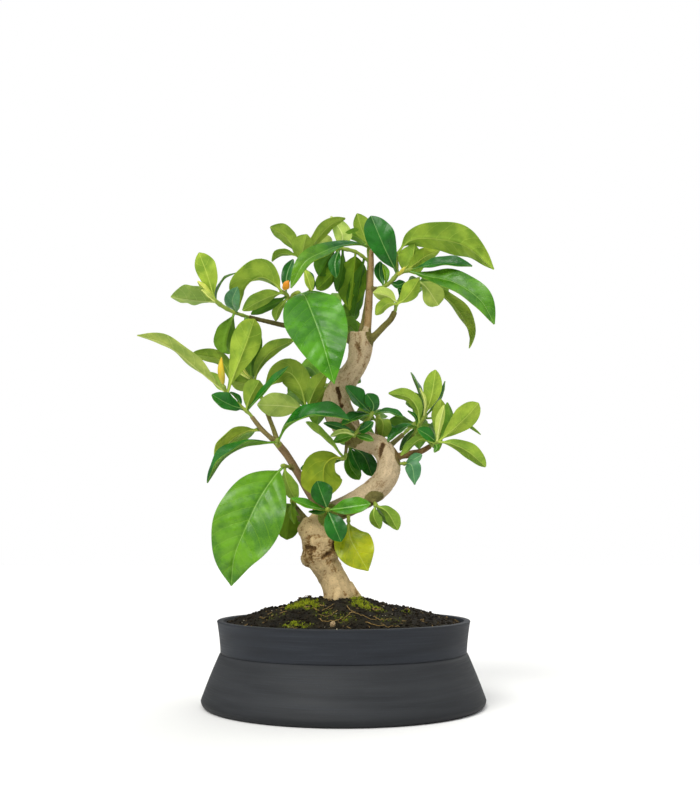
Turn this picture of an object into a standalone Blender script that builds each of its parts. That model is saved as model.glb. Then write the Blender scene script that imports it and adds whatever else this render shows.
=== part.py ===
"""Gardenia bonsai in a round dark planter, at its real size.

The planter is a turned shell, filled by a mound of soil that the trunk stands in. The trunk winds up
through a knob and an open loop to a cut top, and carries green sprays of leaves on woody twigs.
X points right and Y to the back as the plant is seen from the front, Z up. The origin is at the
centre of the planter's underside.
"""
import math

import bmesh
import bpy
import numpy as np
from mathutils import Vector, noise

MM = 0.001
GAP = 0.3                   # between pieces that touch

# Planter
FOOT_RADIUS = 90.0          # widest, just above the ground
FOOT_HEIGHT = 3.9           # height of the widest line
FOOT_ROUND = 3.6            # rounding of the lower edge
WAIST_RADIUS = 78.4
WAIST_HEIGHT = 33.1
RIM_RADIUS = 80.9
RIM_HEIGHT = 52.6
RIM_ROUND = 0.8
COLLAR_CURVE = 1.4          # higher makes the collar flare nearer its rim
SKIRT_BULGE = 0.125         # of the skirt between waist and foot
WALL = 4.2
FLOOR = 5.0
TURN_STEPS = 36

# Soil, whose top is a mound: (radius, height) from the middle to the wall
MOUND = [(0.0, 66.4), (16.0, 65.6), (26.0, 62.8), (38.0, 60.2), (51.0, 57.6), (64.0, 53.9), (76.0, 50.0)]
MOUND_BUMPS = [(-27.0, 1.0, 9.0, 3.2), (-50.0, 3.0, 9.0, 1.6), (14.0, -2.0, 7.0, 0.6), (26.0, 4.0, 9.0, -1.4),
               (-8.0, -26.0, 10.0, 1.2), (40.0, -22.0, 9.0, 0.9), (-30.0, 34.0, 12.0, 1.3)]
SOIL_ROUGHNESS = 0.5
SOIL_EDGE_RADIUS = 75.9     # where the soil's top meets the wall
SOIL_EDGE_HEIGHT = 49.6
SOIL_SIDE_HEIGHT = 47.0     # the soil's side starts below this

# Foot of the trunk, a plain plug in a plain hole
PLUG_CENTRE = (-2.0, 0.0)
PLUG_RADIUS = 12.6
PLUG_BOTTOM = 52.6
PLUG_TOP = 67.2

# Trunk and stems
BARK_ROUGHNESS = 0.7        # how far the bark of the trunk rises and falls
RING_SPACING = 6.0          # between the rings of the trunk's mesh
TWIG_SPACING = 11.0         # the same for its twigs
THINNING = [(0.15, 3.0), (0.1, 2.0), (0.05, 1.0), (0.02, 0.3)]   # (shortest edge, flat angle), best first
STEM_LEAD = 1.2             # how far a green stem goes on in line with its twig
STEM_SPACING = 8.0          # between the rings of a green stem's mesh
STEM_RADIUS = (1.35, 1.9)   # green stem, at its start and at its tip, where the leaves sit

# Leaf blades
BLADE_THICKNESS = 0.7
ROW_LENGTH = 19.0           # about how long the faces of a blade are
NARROW_LEAF = 8.0           # a leaf narrower than this has no fold along its midrib
STALK_HALF_WIDTH = 0.8      # of the narrow start of a blade
TIP_HALF_WIDTH = 0.35
STALK_SHARE = 0.07          # of a leaf's length that is stalk
OUTLINE_POWER = 1.9         # higher makes slimmer ends
WAVE = 0.09                 # of a blade's edge, against its half width
WAVE_COUNT = 2.5
BLADE_STATIONS = 24

COLOURS = {
    "slate": (0.022, 0.025, 0.030),
    "soil": (0.020, 0.017, 0.012),
    "bark": (0.40, 0.30, 0.17),
    "green": (0.10, 0.24, 0.03),
    "yellow": (0.52, 0.54, 0.06),
    "bud": (0.78, 0.62, 0.05),
}


# Places on the plant
# A place is (x, z, back) in millimetres: what stands over the point x, z of the upright plane through
# the foot of the trunk when the plant is seen from the front, and how far behind that plane it lies.
EYE = (4.0, -657.0, 100.4)


def place(x, z, back):
    """The point in metres that a place stands for."""
    spread = 1 + back / -EYE[1]
    east = EYE[0] + (x - EYE[0]) * spread
    height = EYE[2] + (z - EYE[2]) * spread
    return Vector((east, back, height)) * MM


# Trunk and woody twigs: rows of (x, z, back, radius)
TRUNK_FOOT = [(-2.0, 60.0, 0, 10.6), (-3.0, 68.0, 0, 10.2), (-5.8, 76.0, 0, 9.2), (-9.3, 82.5, 0, 9.0),
              (-13.0, 88.5, 0, 9.8), (-15.2, 94.5, 0, 11.2), (-15.8, 100.5, 0, 11.2),
              (-18.0, 106.5, 0, 10.6), (-20.2, 112.0, 0, 9.4), (-20.0, 117.0, 0, 6.0)]
TRUNK_LOOP = [(-19.0, 113.0, 1, 6.5), (-12.0, 118.5, 2, 7.0), (-4.0, 122.3, 3, 7.2), (5.5, 126.5, 3, 7.2),
              (15.0, 132.0, 2, 7.7), (23.5, 138.5, 1, 8.0), (28.6, 147.0, 0, 8.0), (28.8, 156.5, 0, 7.6),
              (23.8, 163.5, 2, 7.0), (15.5, 167.0, 5, 6.8), (8.0, 169.5, 7, 6.8), (2.0, 175.0, 8, 7.4),
              (-3.0, 183.0, 7, 8.8), (-5.0, 191.0, 6, 9.6), (-3.7, 199.0, 5, 9.0), (-0.2, 206.0, 4, 8.1),
              (4.5, 213.0, 4, 7.4), (9.0, 221.0, 4, 7.2), (11.0, 230.0, 4, 8.2), (11.6, 240.0, 4, 8.9)]
BURRS = [(-22.0, 91.5, -1, 6.2), (-9.0, 101.5, -6, 5.4), (-24.5, 109.5, 0, 6.0), (-14.0, 115.5, -2, 6.2),
         (-8.5, 93.0, -5, 5.0), (-1.0, 189.0, -1, 4.2)]
ROOTS = [(-9.6, 66.8, -3.0), (-4.0, 67.4, -9.8), (8.4, 66.8, -3.2), (6.6, 66.8, 7.6), (-7.0, 66.8, 8.6)]
TWIGS = {
    "left_limb": [(-15.0, 119.0, 1, 4.0), (-19.5, 128.0, 1, 3.0), (-24.7, 137.0, 1, 2.8),
                  (-30.5, 147.0, 0, 2.7), (-36.5, 157.0, 0, 2.6), (-43.5, 166.0, 0, 2.6)],
    "left_stem": [(-43.0, 165.0, 0, 2.0), (-49.0, 170.5, -1, 1.8), (-54.6, 175.8, -2, 1.7),
                  (-61.2, 184.2, -3, 1.6)],
    "inner_stem": [(-43.0, 165.0, 1, 1.9), (-46.0, 174.0, 3, 1.7), (-49.6, 183.5, 5, 1.6),
                   (-53.4, 193.5, 6, 1.5)],
    "fork_stub": [(-43.5, 165.5, 0, 1.9), (-43.6, 166.3, -3.8, 1.8)],
    "arch_stub": [(-52.0, 173.2, -1, 1.2), (-54.4, 174.6, 1.6, 1.1)],
    "big_leaf_stub": [(-32.6, 149.6, 0, 1.9), (-36.0, 150.6, -2.6, 1.7)],
    "front_stub": [(-10.5, 120.5, 1, 2.4), (-10.6, 121.8, -8.5, 2.0)],
    "shade_twig": [(-24.0, 115.0, 3, 2.6), (-28.5, 121.0, 5, 1.7), (-31.2, 124.8, 6, 1.4)],
    "yellow_stub": [(3.0, 121.0, 1, 1.7), (3.0, 117.4, -4, 1.4)],
    "loop_low_stub": [(18.0, 131.0, 0, 2.2), (20.2, 127.2, -5, 1.7)],
    "loop_right_stub": [(31.0, 152.5, 0, 2.2), (37.2, 152.8, -2.4, 1.5)],
    "pocket_twig": [(2.5, 168.0, 3, 1.9), (1.6, 163.0, -1, 1.3), (1.0, 158.6, -2, 1.3)],
    "centre_stub": [(6.5, 170.0, 4, 2.4), (6.8, 171.0, -2.4, 1.9)],
    "pruned_stub": [(4.4, 175.0, 6, 3.2), (4.6, 175.6, -1.6, 3.0)],
    "loop_back_stub": [(6.0, 168.5, 10, 2.2), (4.4, 166.0, 18, 1.6)],
    "loop_top_twig": [(21.0, 166.0, 6, 2.0), (21.5, 173.0, 14, 1.4), (21.8, 178.0, 16, 1.3)],
    "right_branch": [(30.0, 155.0, 1, 3.0), (37.0, 157.7, 0, 2.5), (43.5, 159.0, 0, 2.7),
                     (51.0, 161.0, 0, 2.0), (57.0, 164.4, 0, 1.8)],
    "right_up_twig": [(40.0, 159.0, 1, 1.6), (43.6, 167.0, 4, 1.2), (46.6, 172.6, 5, 1.2)],
    "mid_left_twig": [(-6.0, 187.0, 10, 2.4), (-15.0, 186.4, 11, 1.6), (-20.6, 186.6, 9, 1.4)],
    "upper_branch": [(9.0, 234.0, 4, 3.4), (-2.0, 238.0, 9, 2.4), (-18.0, 242.0, 11, 2.0),
                     (-38.0, 245.2, 9, 1.8), (-52.0, 248.4, 6, 1.7), (-64.0, 251.4, 4, 1.6)],
    "upper_left_twig": [(-38.0, 245.2, 9, 1.6), (-37.2, 251.0, 9, 1.4), (-36.6, 256.0, 8, 1.4)],
    "upper_middle_twig": [(-21.0, 242.6, 11, 1.7), (-21.0, 256.0, 12, 1.5), (-22.6, 270.0, 11, 1.4),
                          (-25.6, 281.0, 9, 1.4)],
    "top_stub": [(15.0, 237.0, 4, 3.2), (16.0, 248.0, 4, 2.7), (16.6, 256.0, 4, 2.5),
                 (17.4, 270.0, 4, 2.4), (18.2, 284.0, 4, 2.1), (18.5, 298.0, 4, 1.7)],
    "side_shoot": [(17.4, 270.6, 4, 1.6), (22.6, 271.3, 2.5, 1.4)],
    "crown_twig": [(11.0, 236.0, 9, 3.0), (14.0, 252.0, 15, 2.0), (16.0, 268.0, 16, 1.7),
                   (16.6, 284.0, 14, 1.6)],
    "right_top_branch": [(17.0, 235.0, 3, 3.0), (22.0, 240.0, 1, 2.4), (26.4, 244.6, 0, 2.3),
                         (31.4, 249.8, 0, 2.1), (34.0, 255.2, 0, 2.0)],
    "back_twig_top": [(7.0, 232.0, 9, 2.6), (2.0, 236.0, 18, 2.0), (-3.0, 240.0, 27, 1.6)],
    "back_twig_low": [(-20.0, 113.0, 6, 2.8), (-27.0, 116.0, 16, 2.0), (-36.0, 119.0, 24, 1.6)],
    "back_twig_right": [(26.0, 160.0, 4, 2.8), (32.0, 166.0, 14, 2.0), (39.0, 172.0, 22, 1.6)],
    "back_twig_middle": [(-5.0, 191.0, 12, 2.6), (-6.0, 196.0, 22, 2.0), (-8.0, 202.0, 31, 1.6)],
}


def leaf(tint, width, face, *route, fold=16, peak=0.58, twist=0):
    """A leaf along a route from stem to tip. face turns it about its midrib: 0 shows its upper side to
    the front, 90 its edge and 180 its underside. fold lifts its halves, peak is where it is widest."""
    return {"tint": tint, "width": width, "face": face, "route": route, "fold": fold, "peak": peak,
            "twist": twist}


def whorled(tint, length, width, stem, count, start):
    """Leaves of a shoot that grows away from the front: threes that turn, and droop as they spread."""
    leaves = []
    tiers = len(stem) - 1
    for index in range(count):
        x, z, back = stem[min(1 + index // 3, tiers)]
        angle = math.radians(start + 120 * (index % 3) + 60 * (index // 3))
        out_x = math.cos(angle)
        out_z = math.sin(angle)
        reach = length * (1 - 0.12 * (index // 3))
        mid = (x + 0.36 * reach * out_x, z + 0.36 * reach * out_z + 2.5, back + 0.34 * reach)
        tip = (x + 0.66 * reach * out_x, z + 0.66 * reach * out_z - 4.0, back + 0.62 * reach)
        leaves.append(leaf(tint, width, 150, (x, z, back), mid, tip))
    return leaves


# Sprays: the twig that carries each, its own green stems and its leaves
SPRAYS = {
    "spray_far_left": {
        "twig": "upper_branch",
        "stems": [[(-70.0, 253.2, 3), (-76.0, 255.6, 2), (-82.0, 259.0, 1), (-87.0, 262.8, 0)]],
        "leaves": [
            leaf("bright", 15, 165, (-87, 263, 0), (-92.0, 280, -4), (-98.3, 296, -5), peak=0.64),
            leaf("pale", 21, 132, (-86, 262, 0), (-101, 263.5, -6), (-116.8, 265.5, -9), fold=24, peak=0.55),
            leaf("yellow", 4.5, 165, (-87, 263, 0), (-92.5, 269.5, -4), (-98.8, 276.3, -6)),
            leaf("yellow", 4, 140, (-87, 263, 0), (-91, 266, -7), (-96, 270.5, -10)),
            leaf("dark", 9, 88, (-87, 263, 0), (-86.2, 270, 4), (-81, 278.8, 7), (-72.5, 282.4, 8), fold=4),
            leaf("dark", 17, 150, (-74, 254, 3), (-77.5, 243, 3), (-79.5, 232, 1), (-77, 226, 0)),
            leaf("blue", 11, 20, (-72, 254, 3), (-75.4, 262, -13), (-72.0, 272, -20), fold=10),
            leaf("bright", 7, 30, (-67, 252, 4), (-65, 247, -1), (-69, 240.5, -3), fold=10),
        ]},
    "spray_upper_left": {
        "twig": "upper_left_twig",
        "stems": [[(-36.8, 262.0, 5), (-39.0, 267.0, 1), (-41.5, 268.5, -1)],
                  [(-36.8, 262.0, 5), (-34.0, 267.0, 1), (-31.0, 268.0, -3)]],
        "leaves": [
            leaf("bright", 25, 125, (-41.5, 268.5, -1), (-48, 276, -5), (-57.5, 279.8, -9), (-67, 272.5, -9),
                 (-71, 257, -6), fold=30, peak=0.5),
            leaf("mid", 12, 150, (-41.5, 267, -1), (-49, 266.4, -8), (-59, 261.8, -13), (-68.4, 256, -15),
                 fold=14),
            leaf("deep", 8.5, 150, (-38.5, 266, 2), (-46, 261.6, -1), (-55, 257.4, -4), (-62.6, 253.4, -5),
                 fold=10),
            leaf("mid", 7, 160, (-38, 265, 3), (-44.6, 256.6, 9), (-46.0, 248.6, 10)),
            leaf("bright", 40, 8, (-31, 268, -3), (-26.6, 266, -14), (-20.3, 251, -29), (-14.9, 235.6, -37),
                 (-10.9, 222, -41), (-6.4, 206, -42), fold=9, peak=0.43),
            leaf("dark", 8, 20, (-39.5, 268, 1), (-38.6, 281, 3), (-34.6, 291.5, 4)),
        ]},
    "spray_upper_middle": {
        "twig": "upper_middle_twig",
        "stems": [[(-27.4, 286.0, 8), (-29.5, 291.0, 7), (-31.0, 295.0, 6)]],
        "leaves": [
            leaf("mid", 14, 148, (-31, 295, 6), (-39, 307.0, 4), (-50.2, 314.4, 1), fold=18),
            leaf("mid", 7, 140, (-31, 294, 6), (-40, 296.0, 8), (-45.5, 294.6, 9), (-49, 290.0, 9)),
            leaf("mid", 16, 168, (-28, 288, 8), (-28.0, 299, 3), (-25.5, 309, 1), fold=10),
            leaf("bright", 7, 160, (-27, 285, 8), (-24.5, 279, 3), (-21.5, 269.5, 2)),
            leaf("dark", 6, 70, (-27, 285, 8), (-22.5, 281, 7), (-20.6, 270.5, 6)),
            leaf("mid", 10, 150, (-29, 291, 7), (-20, 304, 6), (-10, 315.5, 4), (0.8, 320.4, 2)),
        ]},
    "spray_crown": {
        "twig": "crown_twig",
        "stems": [[(16.8, 290.0, 13), (16.8, 298.0, 11), (16.6, 302.0, 10)],
                  [(16.8, 290.0, 13), (8.0, 296.5, 11), (-2.0, 299.0, 10), (-6.0, 299.5, 9)]],
        "leaves": [
            leaf("fading", 13, 62, (16.6, 300, 10), (10, 302.4, 0), (-3, 301.0, -12), (-15, 296.4, -19),
                 (-27, 289, -24), (-36.0, 271.5, -23), fold=20, twist=-30),
            leaf("mid", 13, 160, (16.6, 301, 10), (12.5, 312, 8), (9, 323.6, 7)),
            leaf("dark", 11, 145, (16.6, 300, 10), (11, 306.5, 13), (1, 310.2, 13)),
            leaf("yellow", 13, 165, (-2, 299, 10), (-1, 309, 13), (-9, 321.6, 13), peak=0.42),
            leaf("pale", 11, 168, (-6, 299.5, 9), (-13, 303.5, 12), (-20.5, 301, 12)),
            leaf("deep", 15, 155, (-6, 299, 9), (-12, 290, 9), (-17.4, 280, 7)),
            leaf("dark", 9, 20, (-3, 299, 10), (-6.2, 289, 4), (-5.2, 278.6, 2)),
            leaf("shade", 12, 155, (-5, 299, 10), (-7, 284, 13), (-18.5, 270.4, 10), peak=0.68),
            leaf("deep", 9, 150, (-1, 299, 10), (-1.5, 285, 15), (-5, 269, 16)),
            leaf("shade", 23, 165, (8, 297, 11), (6, 280, 19), (3.5, 256, 21), peak=0.45, fold=10),
            leaf("deep", 15, 150, (14, 293, 12), (10, 276, 21), (6.5, 252, 22)),
        ]},
    "spray_crown_low": {
        "twig": "back_twig_top",
        "stems": [[(-5.0, 243.0, 33), (-8.0, 249.0, 41), (-12.0, 255.0, 48)]],
        "leaves": whorled("dark", 34, 15, [(-5.0, 243.0, 33), (-8.0, 249.0, 41), (-12.0, 255.0, 48)], 5, 90)
        + [leaf("dark", 15, 150, (-4.5, 242.4, 31), (4, 252, 27), (7.5, 266, 25)),
           leaf("dark", 13, 150, (-5, 243, 33), (3, 246, 27), (9, 241, 24))]},
    "spray_upper_right": {
        "twig": "side_shoot",
        "stems": [[(27.4, 272.6, 1), (32.0, 276.2, 0), (36.0, 281.0, 0)],
                  [(36.0, 281.0, 0), (41.0, 283.0, -1), (45.0, 284.0, -2)],
                  [(36.0, 281.0, 0), (35.5, 288.0, 4), (35.0, 295.0, 6)]],
        "leaves": [
            leaf("dark", 20, 14, (36, 281.5, 0), (29, 296, -9), (23.5, 309, -11), (18.3, 322, -8), fold=12,
                 peak=0.6),
            leaf("bright", 25.5, 146, (35, 295, 6), (45, 305.2, 6), (64, 306, -1), (84, 300.4, -8),
                 (101.5, 284.5, -12), fold=14, peak=0.5),
            leaf("bright", 21, 166, (39, 282, 0), (45.5, 291, 7), (47.5, 302, 9), fold=8, peak=0.52),
            leaf("bright", 12, 160, (41, 283, -1), (54, 293.0, 12), (65.3, 298.6, 14)),
            leaf("dark", 13, 58, (45, 284, -2), (54, 286.6, -10), (70, 288.8, -18), (86.8, 286.8, -20), fold=20),
            leaf("mid", 20, 40, (43, 283.5, -1), (56, 279.8, -12), (75, 275.2, -24), (92, 263, -30),
                 (101, 246.5, -31), fold=16, peak=0.54),
            leaf("dark", 8, 20, (27, 272.6, 1), (24, 281, 3), (24.5, 290, 4)),
            leaf("bright", 4.5, 30, (28, 273, 1), (28.8, 281, -3), (26.5, 288, -5)),
            leaf("dark", 7, 30, (31, 275.4, 0), (36.5, 273.5, 1), (41.2, 275.5, 2)),
        ]},
    "spray_right_top": {
        "twig": "right_top_branch",
        "stems": [[(34.6, 257.6, 0), (35.8, 261.0, 0), (40.5, 267.0, 3), (46.5, 273.5, 4), (49.5, 277.0, 4)]],
        "leaves": [
            leaf("bright", 13, 160, (35.5, 260, 0), (42.5, 266, -5), (50.5, 277.6, -6)),
            leaf("pale", 16, 168, (49.5, 277, 4), (56.5, 271, 1), (63.6, 259.4, 1), peak=0.68),
            leaf("mid", 16.5, 122, (47, 274, 4), (62, 270, 8), (73.6, 261, 6), (82, 249, 2), (85, 239, 1),
                 (84, 230, 0), fold=14, peak=0.66),
            leaf("mid", 9, 155, (35.5, 260, 0), (28.5, 260.6, -7), (21, 253, -9)),
            leaf("pale", 10, 165, (36, 261.5, 0), (29.0, 266.2, -5), (19.6, 268.6, -7)),
            leaf("dark", 5, 30, (37, 262.6, 1), (38.8, 268, -2), (36.5, 271.6, -4)),
            leaf("dark", 16, 150, (46, 273, 4), (60, 276, 20), (70, 268, 34)),
            leaf("dark", 15, 150, (38, 264, 2), (46, 272, 20), (52, 270, 36)),
        ]},
    "spray_left": {
        "twig": "left_stem",
        "stems": [[(-65.0, 188.0, -3), (-72.6, 194.0, -4), (-78.4, 200.6, -5), (-80.0, 203.4, -6)]],
        "leaves": [
            leaf("pale", 17, 118, (-78.4, 200.6, -5), (-95, 214.5, -12), (-111, 228, -18), (-124, 235.6, -20),
                 (-138.5, 239, -20), fold=16, peak=0.5),
            leaf("mid", 11, 146, (-77, 199, -5), (-76, 212, 3), (-82, 222, 4), (-92, 225, 3), (-101.6, 226.4, 1),
                 peak=0.66),
            leaf("mid", 8, 150, (-78.4, 200.6, -5), (-84, 207, 2), (-89.4, 213.8, 4)),
            leaf("bright", 20, 168, (-77.5, 199.6, -5), (-72.8, 214, -10), (-66.2, 232, -10), (-60.4, 250.0, -6),
                 fold=10, peak=0.70),
            leaf("dark", 14, 42, (-66, 188.8, -3), (-76, 192.2, -9), (-87.8, 198.8, -11)),
            leaf("dark", 5, 50, (-68, 190.4, -3), (-70.5, 196.5, 1), (-75.5, 200.6, 2)),
            leaf("mid", 14, 168, (-65, 188, -3), (-62.4, 197, -7), (-56.4, 208.4, -8), fold=10, peak=0.68),
            leaf("dark", 9, 62, (-65, 188, -3), (-56, 198, -11), (-47, 208, -15), (-37.2, 217.8, -17), fold=14),
        ]},
    "spray_inner_left": {
        "twig": "inner_stem",
        "stems": [[(-55.4, 198.0, 6), (-58.8, 204.0, 6), (-62.0, 209.6, 6)]],
        "leaves": [
            leaf("mid", 11.5, 148, (-60, 206, 6), (-57.0, 218, 3), (-48.0, 229.2, -1), (-33.4, 236, -5)),
            leaf("dark", 12, 160, (-62, 209.6, 6), (-62.0, 222, 7), (-56.4, 240, 6)),
            leaf("mid", 14, 160, (-59, 204.4, 6), (-67, 206.5, 8), (-76, 208.6, 10)),
            leaf("yellow", 2.4, 150, (-62, 209.6, 6), (-65.6, 213.6, 4), (-69, 218.4, 3)),
            leaf("yellow", 2.4, 150, (-62, 209.6, 6), (-66.6, 211.8, 3), (-71, 215.2, 2)),
            leaf("dark", 14, 150, (-61, 208, 6), (-70, 213, 20), (-77, 213, 34)),
            leaf("dark", 13, 150, (-60, 206, 6), (-63.5, 221, 19), (-66, 234, 32)),
        ]},
    "spray_fork": {
        "twig": "fork_stub",
        "stems": [[(-43.8, 167.0, -7.0), (-43.8, 168.0, -9.0)]],
        "leaves": [
            leaf("dark", 21, 66, (-43.8, 168, -9), (-38, 177.8, -13), (-26, 184.2, -20), (-10, 185.6, -25),
                 (3.6, 181.8, -26), fold=24),
            leaf("dark", 18, 76, (-43.8, 167.4, -8), (-55, 166.6, -12), (-67, 164.4, -17), (-80, 156, -20),
                 (-89.8, 140.2, -20), fold=24),
        ]},
    "leaf_left_arch": {
        "twig": "arch_stub",
        "stems": [[(-57.0, 175.4, 2.6)]],
        "leaves": [
            leaf("bright", 15, 122, (-57, 175.4, 2.6), (-66, 174.4, -2), (-75, 168.8, -5), (-81, 161, -6),
                 (-84.4, 153.6, -6), fold=16),
            leaf("dark", 12, 150, (-57, 175.4, 2.6), (-66, 172.6, 16), (-74.5, 164.6, 30)),
        ]},
    "spray_middle_left": {
        "twig": "mid_left_twig",
        "stems": [[(-23.0, 187.6, 7), (-25.0, 189.4, 6)]],
        "leaves": [
            leaf("mid", 19, 166, (-25, 189.4, 6), (-28.8, 204, 3), (-36.5, 214.0, 0), (-45, 211.6, -3),
                 (-52.6, 203.6, -4), fold=10, peak=0.5),
            leaf("mid", 12, 160, (-24.6, 189, 6), (-19.4, 203, 3), (-12, 213.6, 2)),
            leaf("pale", 17, 166, (-25, 189, 6), (-41, 191.4, -1), (-57.6, 192, -4), fold=8),
            leaf("mid", 11, 165, (-23, 187.6, 7), (-17.6, 195, 14), (-11, 203, 17)),
            leaf("dark", 15, 150, (-25, 189.4, 6), (-32, 200, 22), (-38, 198, 38)),
            leaf("dark", 11, 150, (-24, 188.5, 6.6), (-20.5, 199, 21), (-17.4, 203.5, 33)),
        ]},
    "spray_back_middle": {
        "twig": "back_twig_middle",
        "stems": [[(-9.0, 204.0, 36), (-12.0, 205.0, 44), (-16.0, 206.0, 52)]],
        "leaves": whorled("dark", 36, 17, [(-9.0, 204.0, 36), (-12.0, 205.0, 44), (-16.0, 206.0, 52)], 5, 15)},
    "spray_low_left": {
        "twig": "big_leaf_stub",
        "stems": [[(-38.4, 151.0, -4.6), (-39.6, 151.2, -5.6)]],
        "leaves": [
            leaf("bright", 43, 10, (-39.4, 151.2, -5.6), (-46, 144, -14), (-56, 128.5, -22), (-64.4, 110, -27),
                 (-71.2, 92, -27), (-72.8, 73.6, -23), fold=8, peak=0.47),
            leaf("mid", 11, 160, (-38.8, 151, -5), (-38.2, 145, -5), (-35, 136, -4), (-30.6, 128.6, -3)),
        ]},
    "spray_back_low": {
        "twig": "back_twig_low",
        "stems": [[(-40.0, 120.4, 28), (-48.0, 123.0, 36), (-55.0, 126.0, 45)]],
        "leaves": whorled("dark", 31, 15, [(-40.0, 120.4, 28), (-48.0, 123.0, 36), (-55.0, 126.0, 45)], 5, 100)},
    "spray_front": {
        "twig": "front_stub",
        "stems": [[(-10.7, 122.4, -12.0), (-10.7, 122.6, -13.5)]],
        "leaves": [
            leaf("dark", 15, 15, (-10.7, 122.6, -13.5), (-14.2, 132, -16), (-17.6, 141.4, -16)),
            leaf("bright", 12, 25, (-10.7, 122.4, -13), (2, 124.2, -19), (17.4, 126.6, -21)),
            leaf("dark", 14.5, 10, (-10.7, 122.4, -13), (-6.6, 113, -19), (-1.8, 102.0, -20), peak=0.6),
            leaf("bright", 8, 50, (-10.7, 122.5, -12.5), (-20, 124.6, -16), (-34.6, 130, -18)),
            leaf("dark", 4, 50, (-10.7, 122.4, -12), (-16, 120.6, -13.5), (-23, 121.6, -14)),
        ]},
    "leaf_yellow": {
        "twig": "yellow_stub",
        "stems": [[(3.0, 115.4, -6.0)]],
        "leaves": [
            leaf("yellow", 25, 8, (3.0, 115.6, -6), (4.0, 105, -10), (9, 95, -12), (15.8, 83.2, -12), fold=6,
                 peak=0.47),
        ]},
    "spray_loop_low": {
        "twig": "loop_low_stub",
        "stems": [[(20.8, 125.6, -8.0)]],
        "leaves": [
            leaf("mid", 8.5, 162, (20.8, 125.6, -8), (19.8, 118.5, -9), (23.8, 110.4, -8)),
            leaf("mid", 10, 158, (20.8, 125.6, -8), (28.8, 121.2, -10), (35.4, 109.6, -10), peak=0.62),
            leaf("dark", 11, 150, (20.8, 125.6, -7), (27, 119, 5), (31, 112, 18)),
        ]},
    "leaf_shade": {
        "twig": "shade_twig",
        "stems": [[(-33.6, 127.8, 7.2)]],
        "leaves": [
            leaf("shade", 15, 170, (-33.6, 127.8, 7.2), (-36, 117, 13), (-37.2, 103.2, 14), fold=6, peak=0.66),
            leaf("shade", 6, 150, (-33.6, 127.8, 7.2), (-34, 121, 0), (-32, 113.6, -1)),
        ]},
    "spray_pocket": {
        "twig": "pocket_twig",
        "stems": [[(0.7, 156.4, -2.4), (-1.0, 156.0, -4.0)]],
        "leaves": [
            leaf("olive", 29, 166, (-0.6, 156.2, -4), (-7, 156.6, -6), (-12.8, 152.0, -9), (-14, 143.6, -12),
                 (-12.4, 130.4, -12), fold=8, peak=0.60),
            leaf("bright", 9, 128, (-0.8, 156.2, -4), (-9, 157.2, -1), (-23, 156.4, 0)),
            leaf("mid", 8, 125, (0.6, 156.6, -3), (-6.4, 164.6, -3), (-14, 172, -4), (-25, 180.6, -4), peak=0.68),
            leaf("dark", 7, 30, (-0.8, 156, -3.6), (-12, 152, 5), (-28.6, 149.6, 7), peak=0.7),
        ]},
    "spray_loop_back": {
        "twig": "loop_back_stub",
        "stems": [[(4.0, 164.4, 21.0)]],
        "leaves": [
            leaf("dark", 9, 20, (4.0, 164.4, 21), (6.5, 157, 20), (11, 148, 19)),
            leaf("dark", 12, 15, (4.0, 164.4, 21), (13, 158, 22), (18.6, 144.6, 21), peak=0.66),
            leaf("mid", 10, 12, (4.0, 164.4, 21), (3.8, 152, 22), (10.4, 142.4, 21), peak=0.66),
            leaf("dark", 15, 150, (4.0, 164.4, 21), (0, 172, 34), (-4, 168, 48)),
            leaf("dark", 15, 150, (4.0, 164.4, 21), (12, 172, 34), (20, 172, 46)),
        ]},
    "spray_centre": {
        "twig": "centre_stub",
        "stems": [[(6.8, 171.6, -6.0), (10.0, 175.4, -7.0), (15.0, 181.0, -6.4), (18.4, 186.0, -5.6)]],
        "leaves": [
            leaf("bright", 6.5, 25, (6.8, 171.6, -6), (0, 169.8, -10), (-7, 167.2, -11)),
            leaf("mid", 5.5, 30, (6.8, 171.6, -6), (13, 170.4, -10), (19.6, 168.2, -11)),
            leaf("dark", 7, 20, (8.6, 173.6, -6.6), (13.6, 176.0, -11), (19.4, 180.6, -12)),
            leaf("pale", 5, 150, (7, 172, -6), (0, 173.8, -10), (-9, 171.2, -11)),
            leaf("dark", 5.5, 20, (8, 173, -6.4), (-1, 176.4, -10), (-13.4, 179.8, -10)),
            leaf("dark", 11, 56, (18, 185.6, -5.8), (10, 184.6, -12), (-1.4, 178.8, -15), fold=20),
            leaf("dark", 8, 62, (18.4, 186, -5.6), (29, 187.6, -9), (39.4, 183.8, -11), fold=16),
            leaf("dark", 15, 46, (18.4, 186, -5.6), (10.4, 194, -11), (1.2, 204.6, -13), fold=20),
            leaf("dark", 10, 12, (18.4, 186, -5.6), (19.6, 192, -8), (15, 199.4, -9)),
        ]},
    "spray_loop_top": {
        "twig": "loop_top_twig",
        "stems": [[(21.8, 180.4, 16.6), (22.6, 183.0, 17.0)]],
        "leaves": [
            leaf("mid", 10.5, 165, (22.6, 183, 17), (26.2, 179.2, 10), (24.8, 168.6, 12), peak=0.5),
            leaf("dark", 3, 40, (22.2, 181.6, 16.8), (28, 179, 14), (34.4, 176.2, 13)),
            leaf("dark", 14, 150, (22, 181, 16.8), (24, 188, 30), (22, 186, 46)),
            leaf("dark", 13, 150, (22, 181, 16.8), (15, 186, 28), (8, 184, 42)),
        ]},
    "spray_loop_right": {
        "twig": "loop_right_stub",
        "stems": [[(39.6, 152.8, -3.4)]],
        "leaves": [
            leaf("blue", 11, 20, (39.6, 152.8, -3.4), (44.6, 151.6, -6), (46.6, 139.0, -7), peak=0.4),
            leaf("blue", 7, 20, (39.6, 152.8, -3.4), (45.4, 155.4, -4), (51.4, 158.8, -4)),
        ]},
    "spray_right": {
        "twig": "right_branch",
        "stems": [[(59.4, 165.8, -0.4), (62.0, 167.4, -1)]],
        "leaves": [
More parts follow.
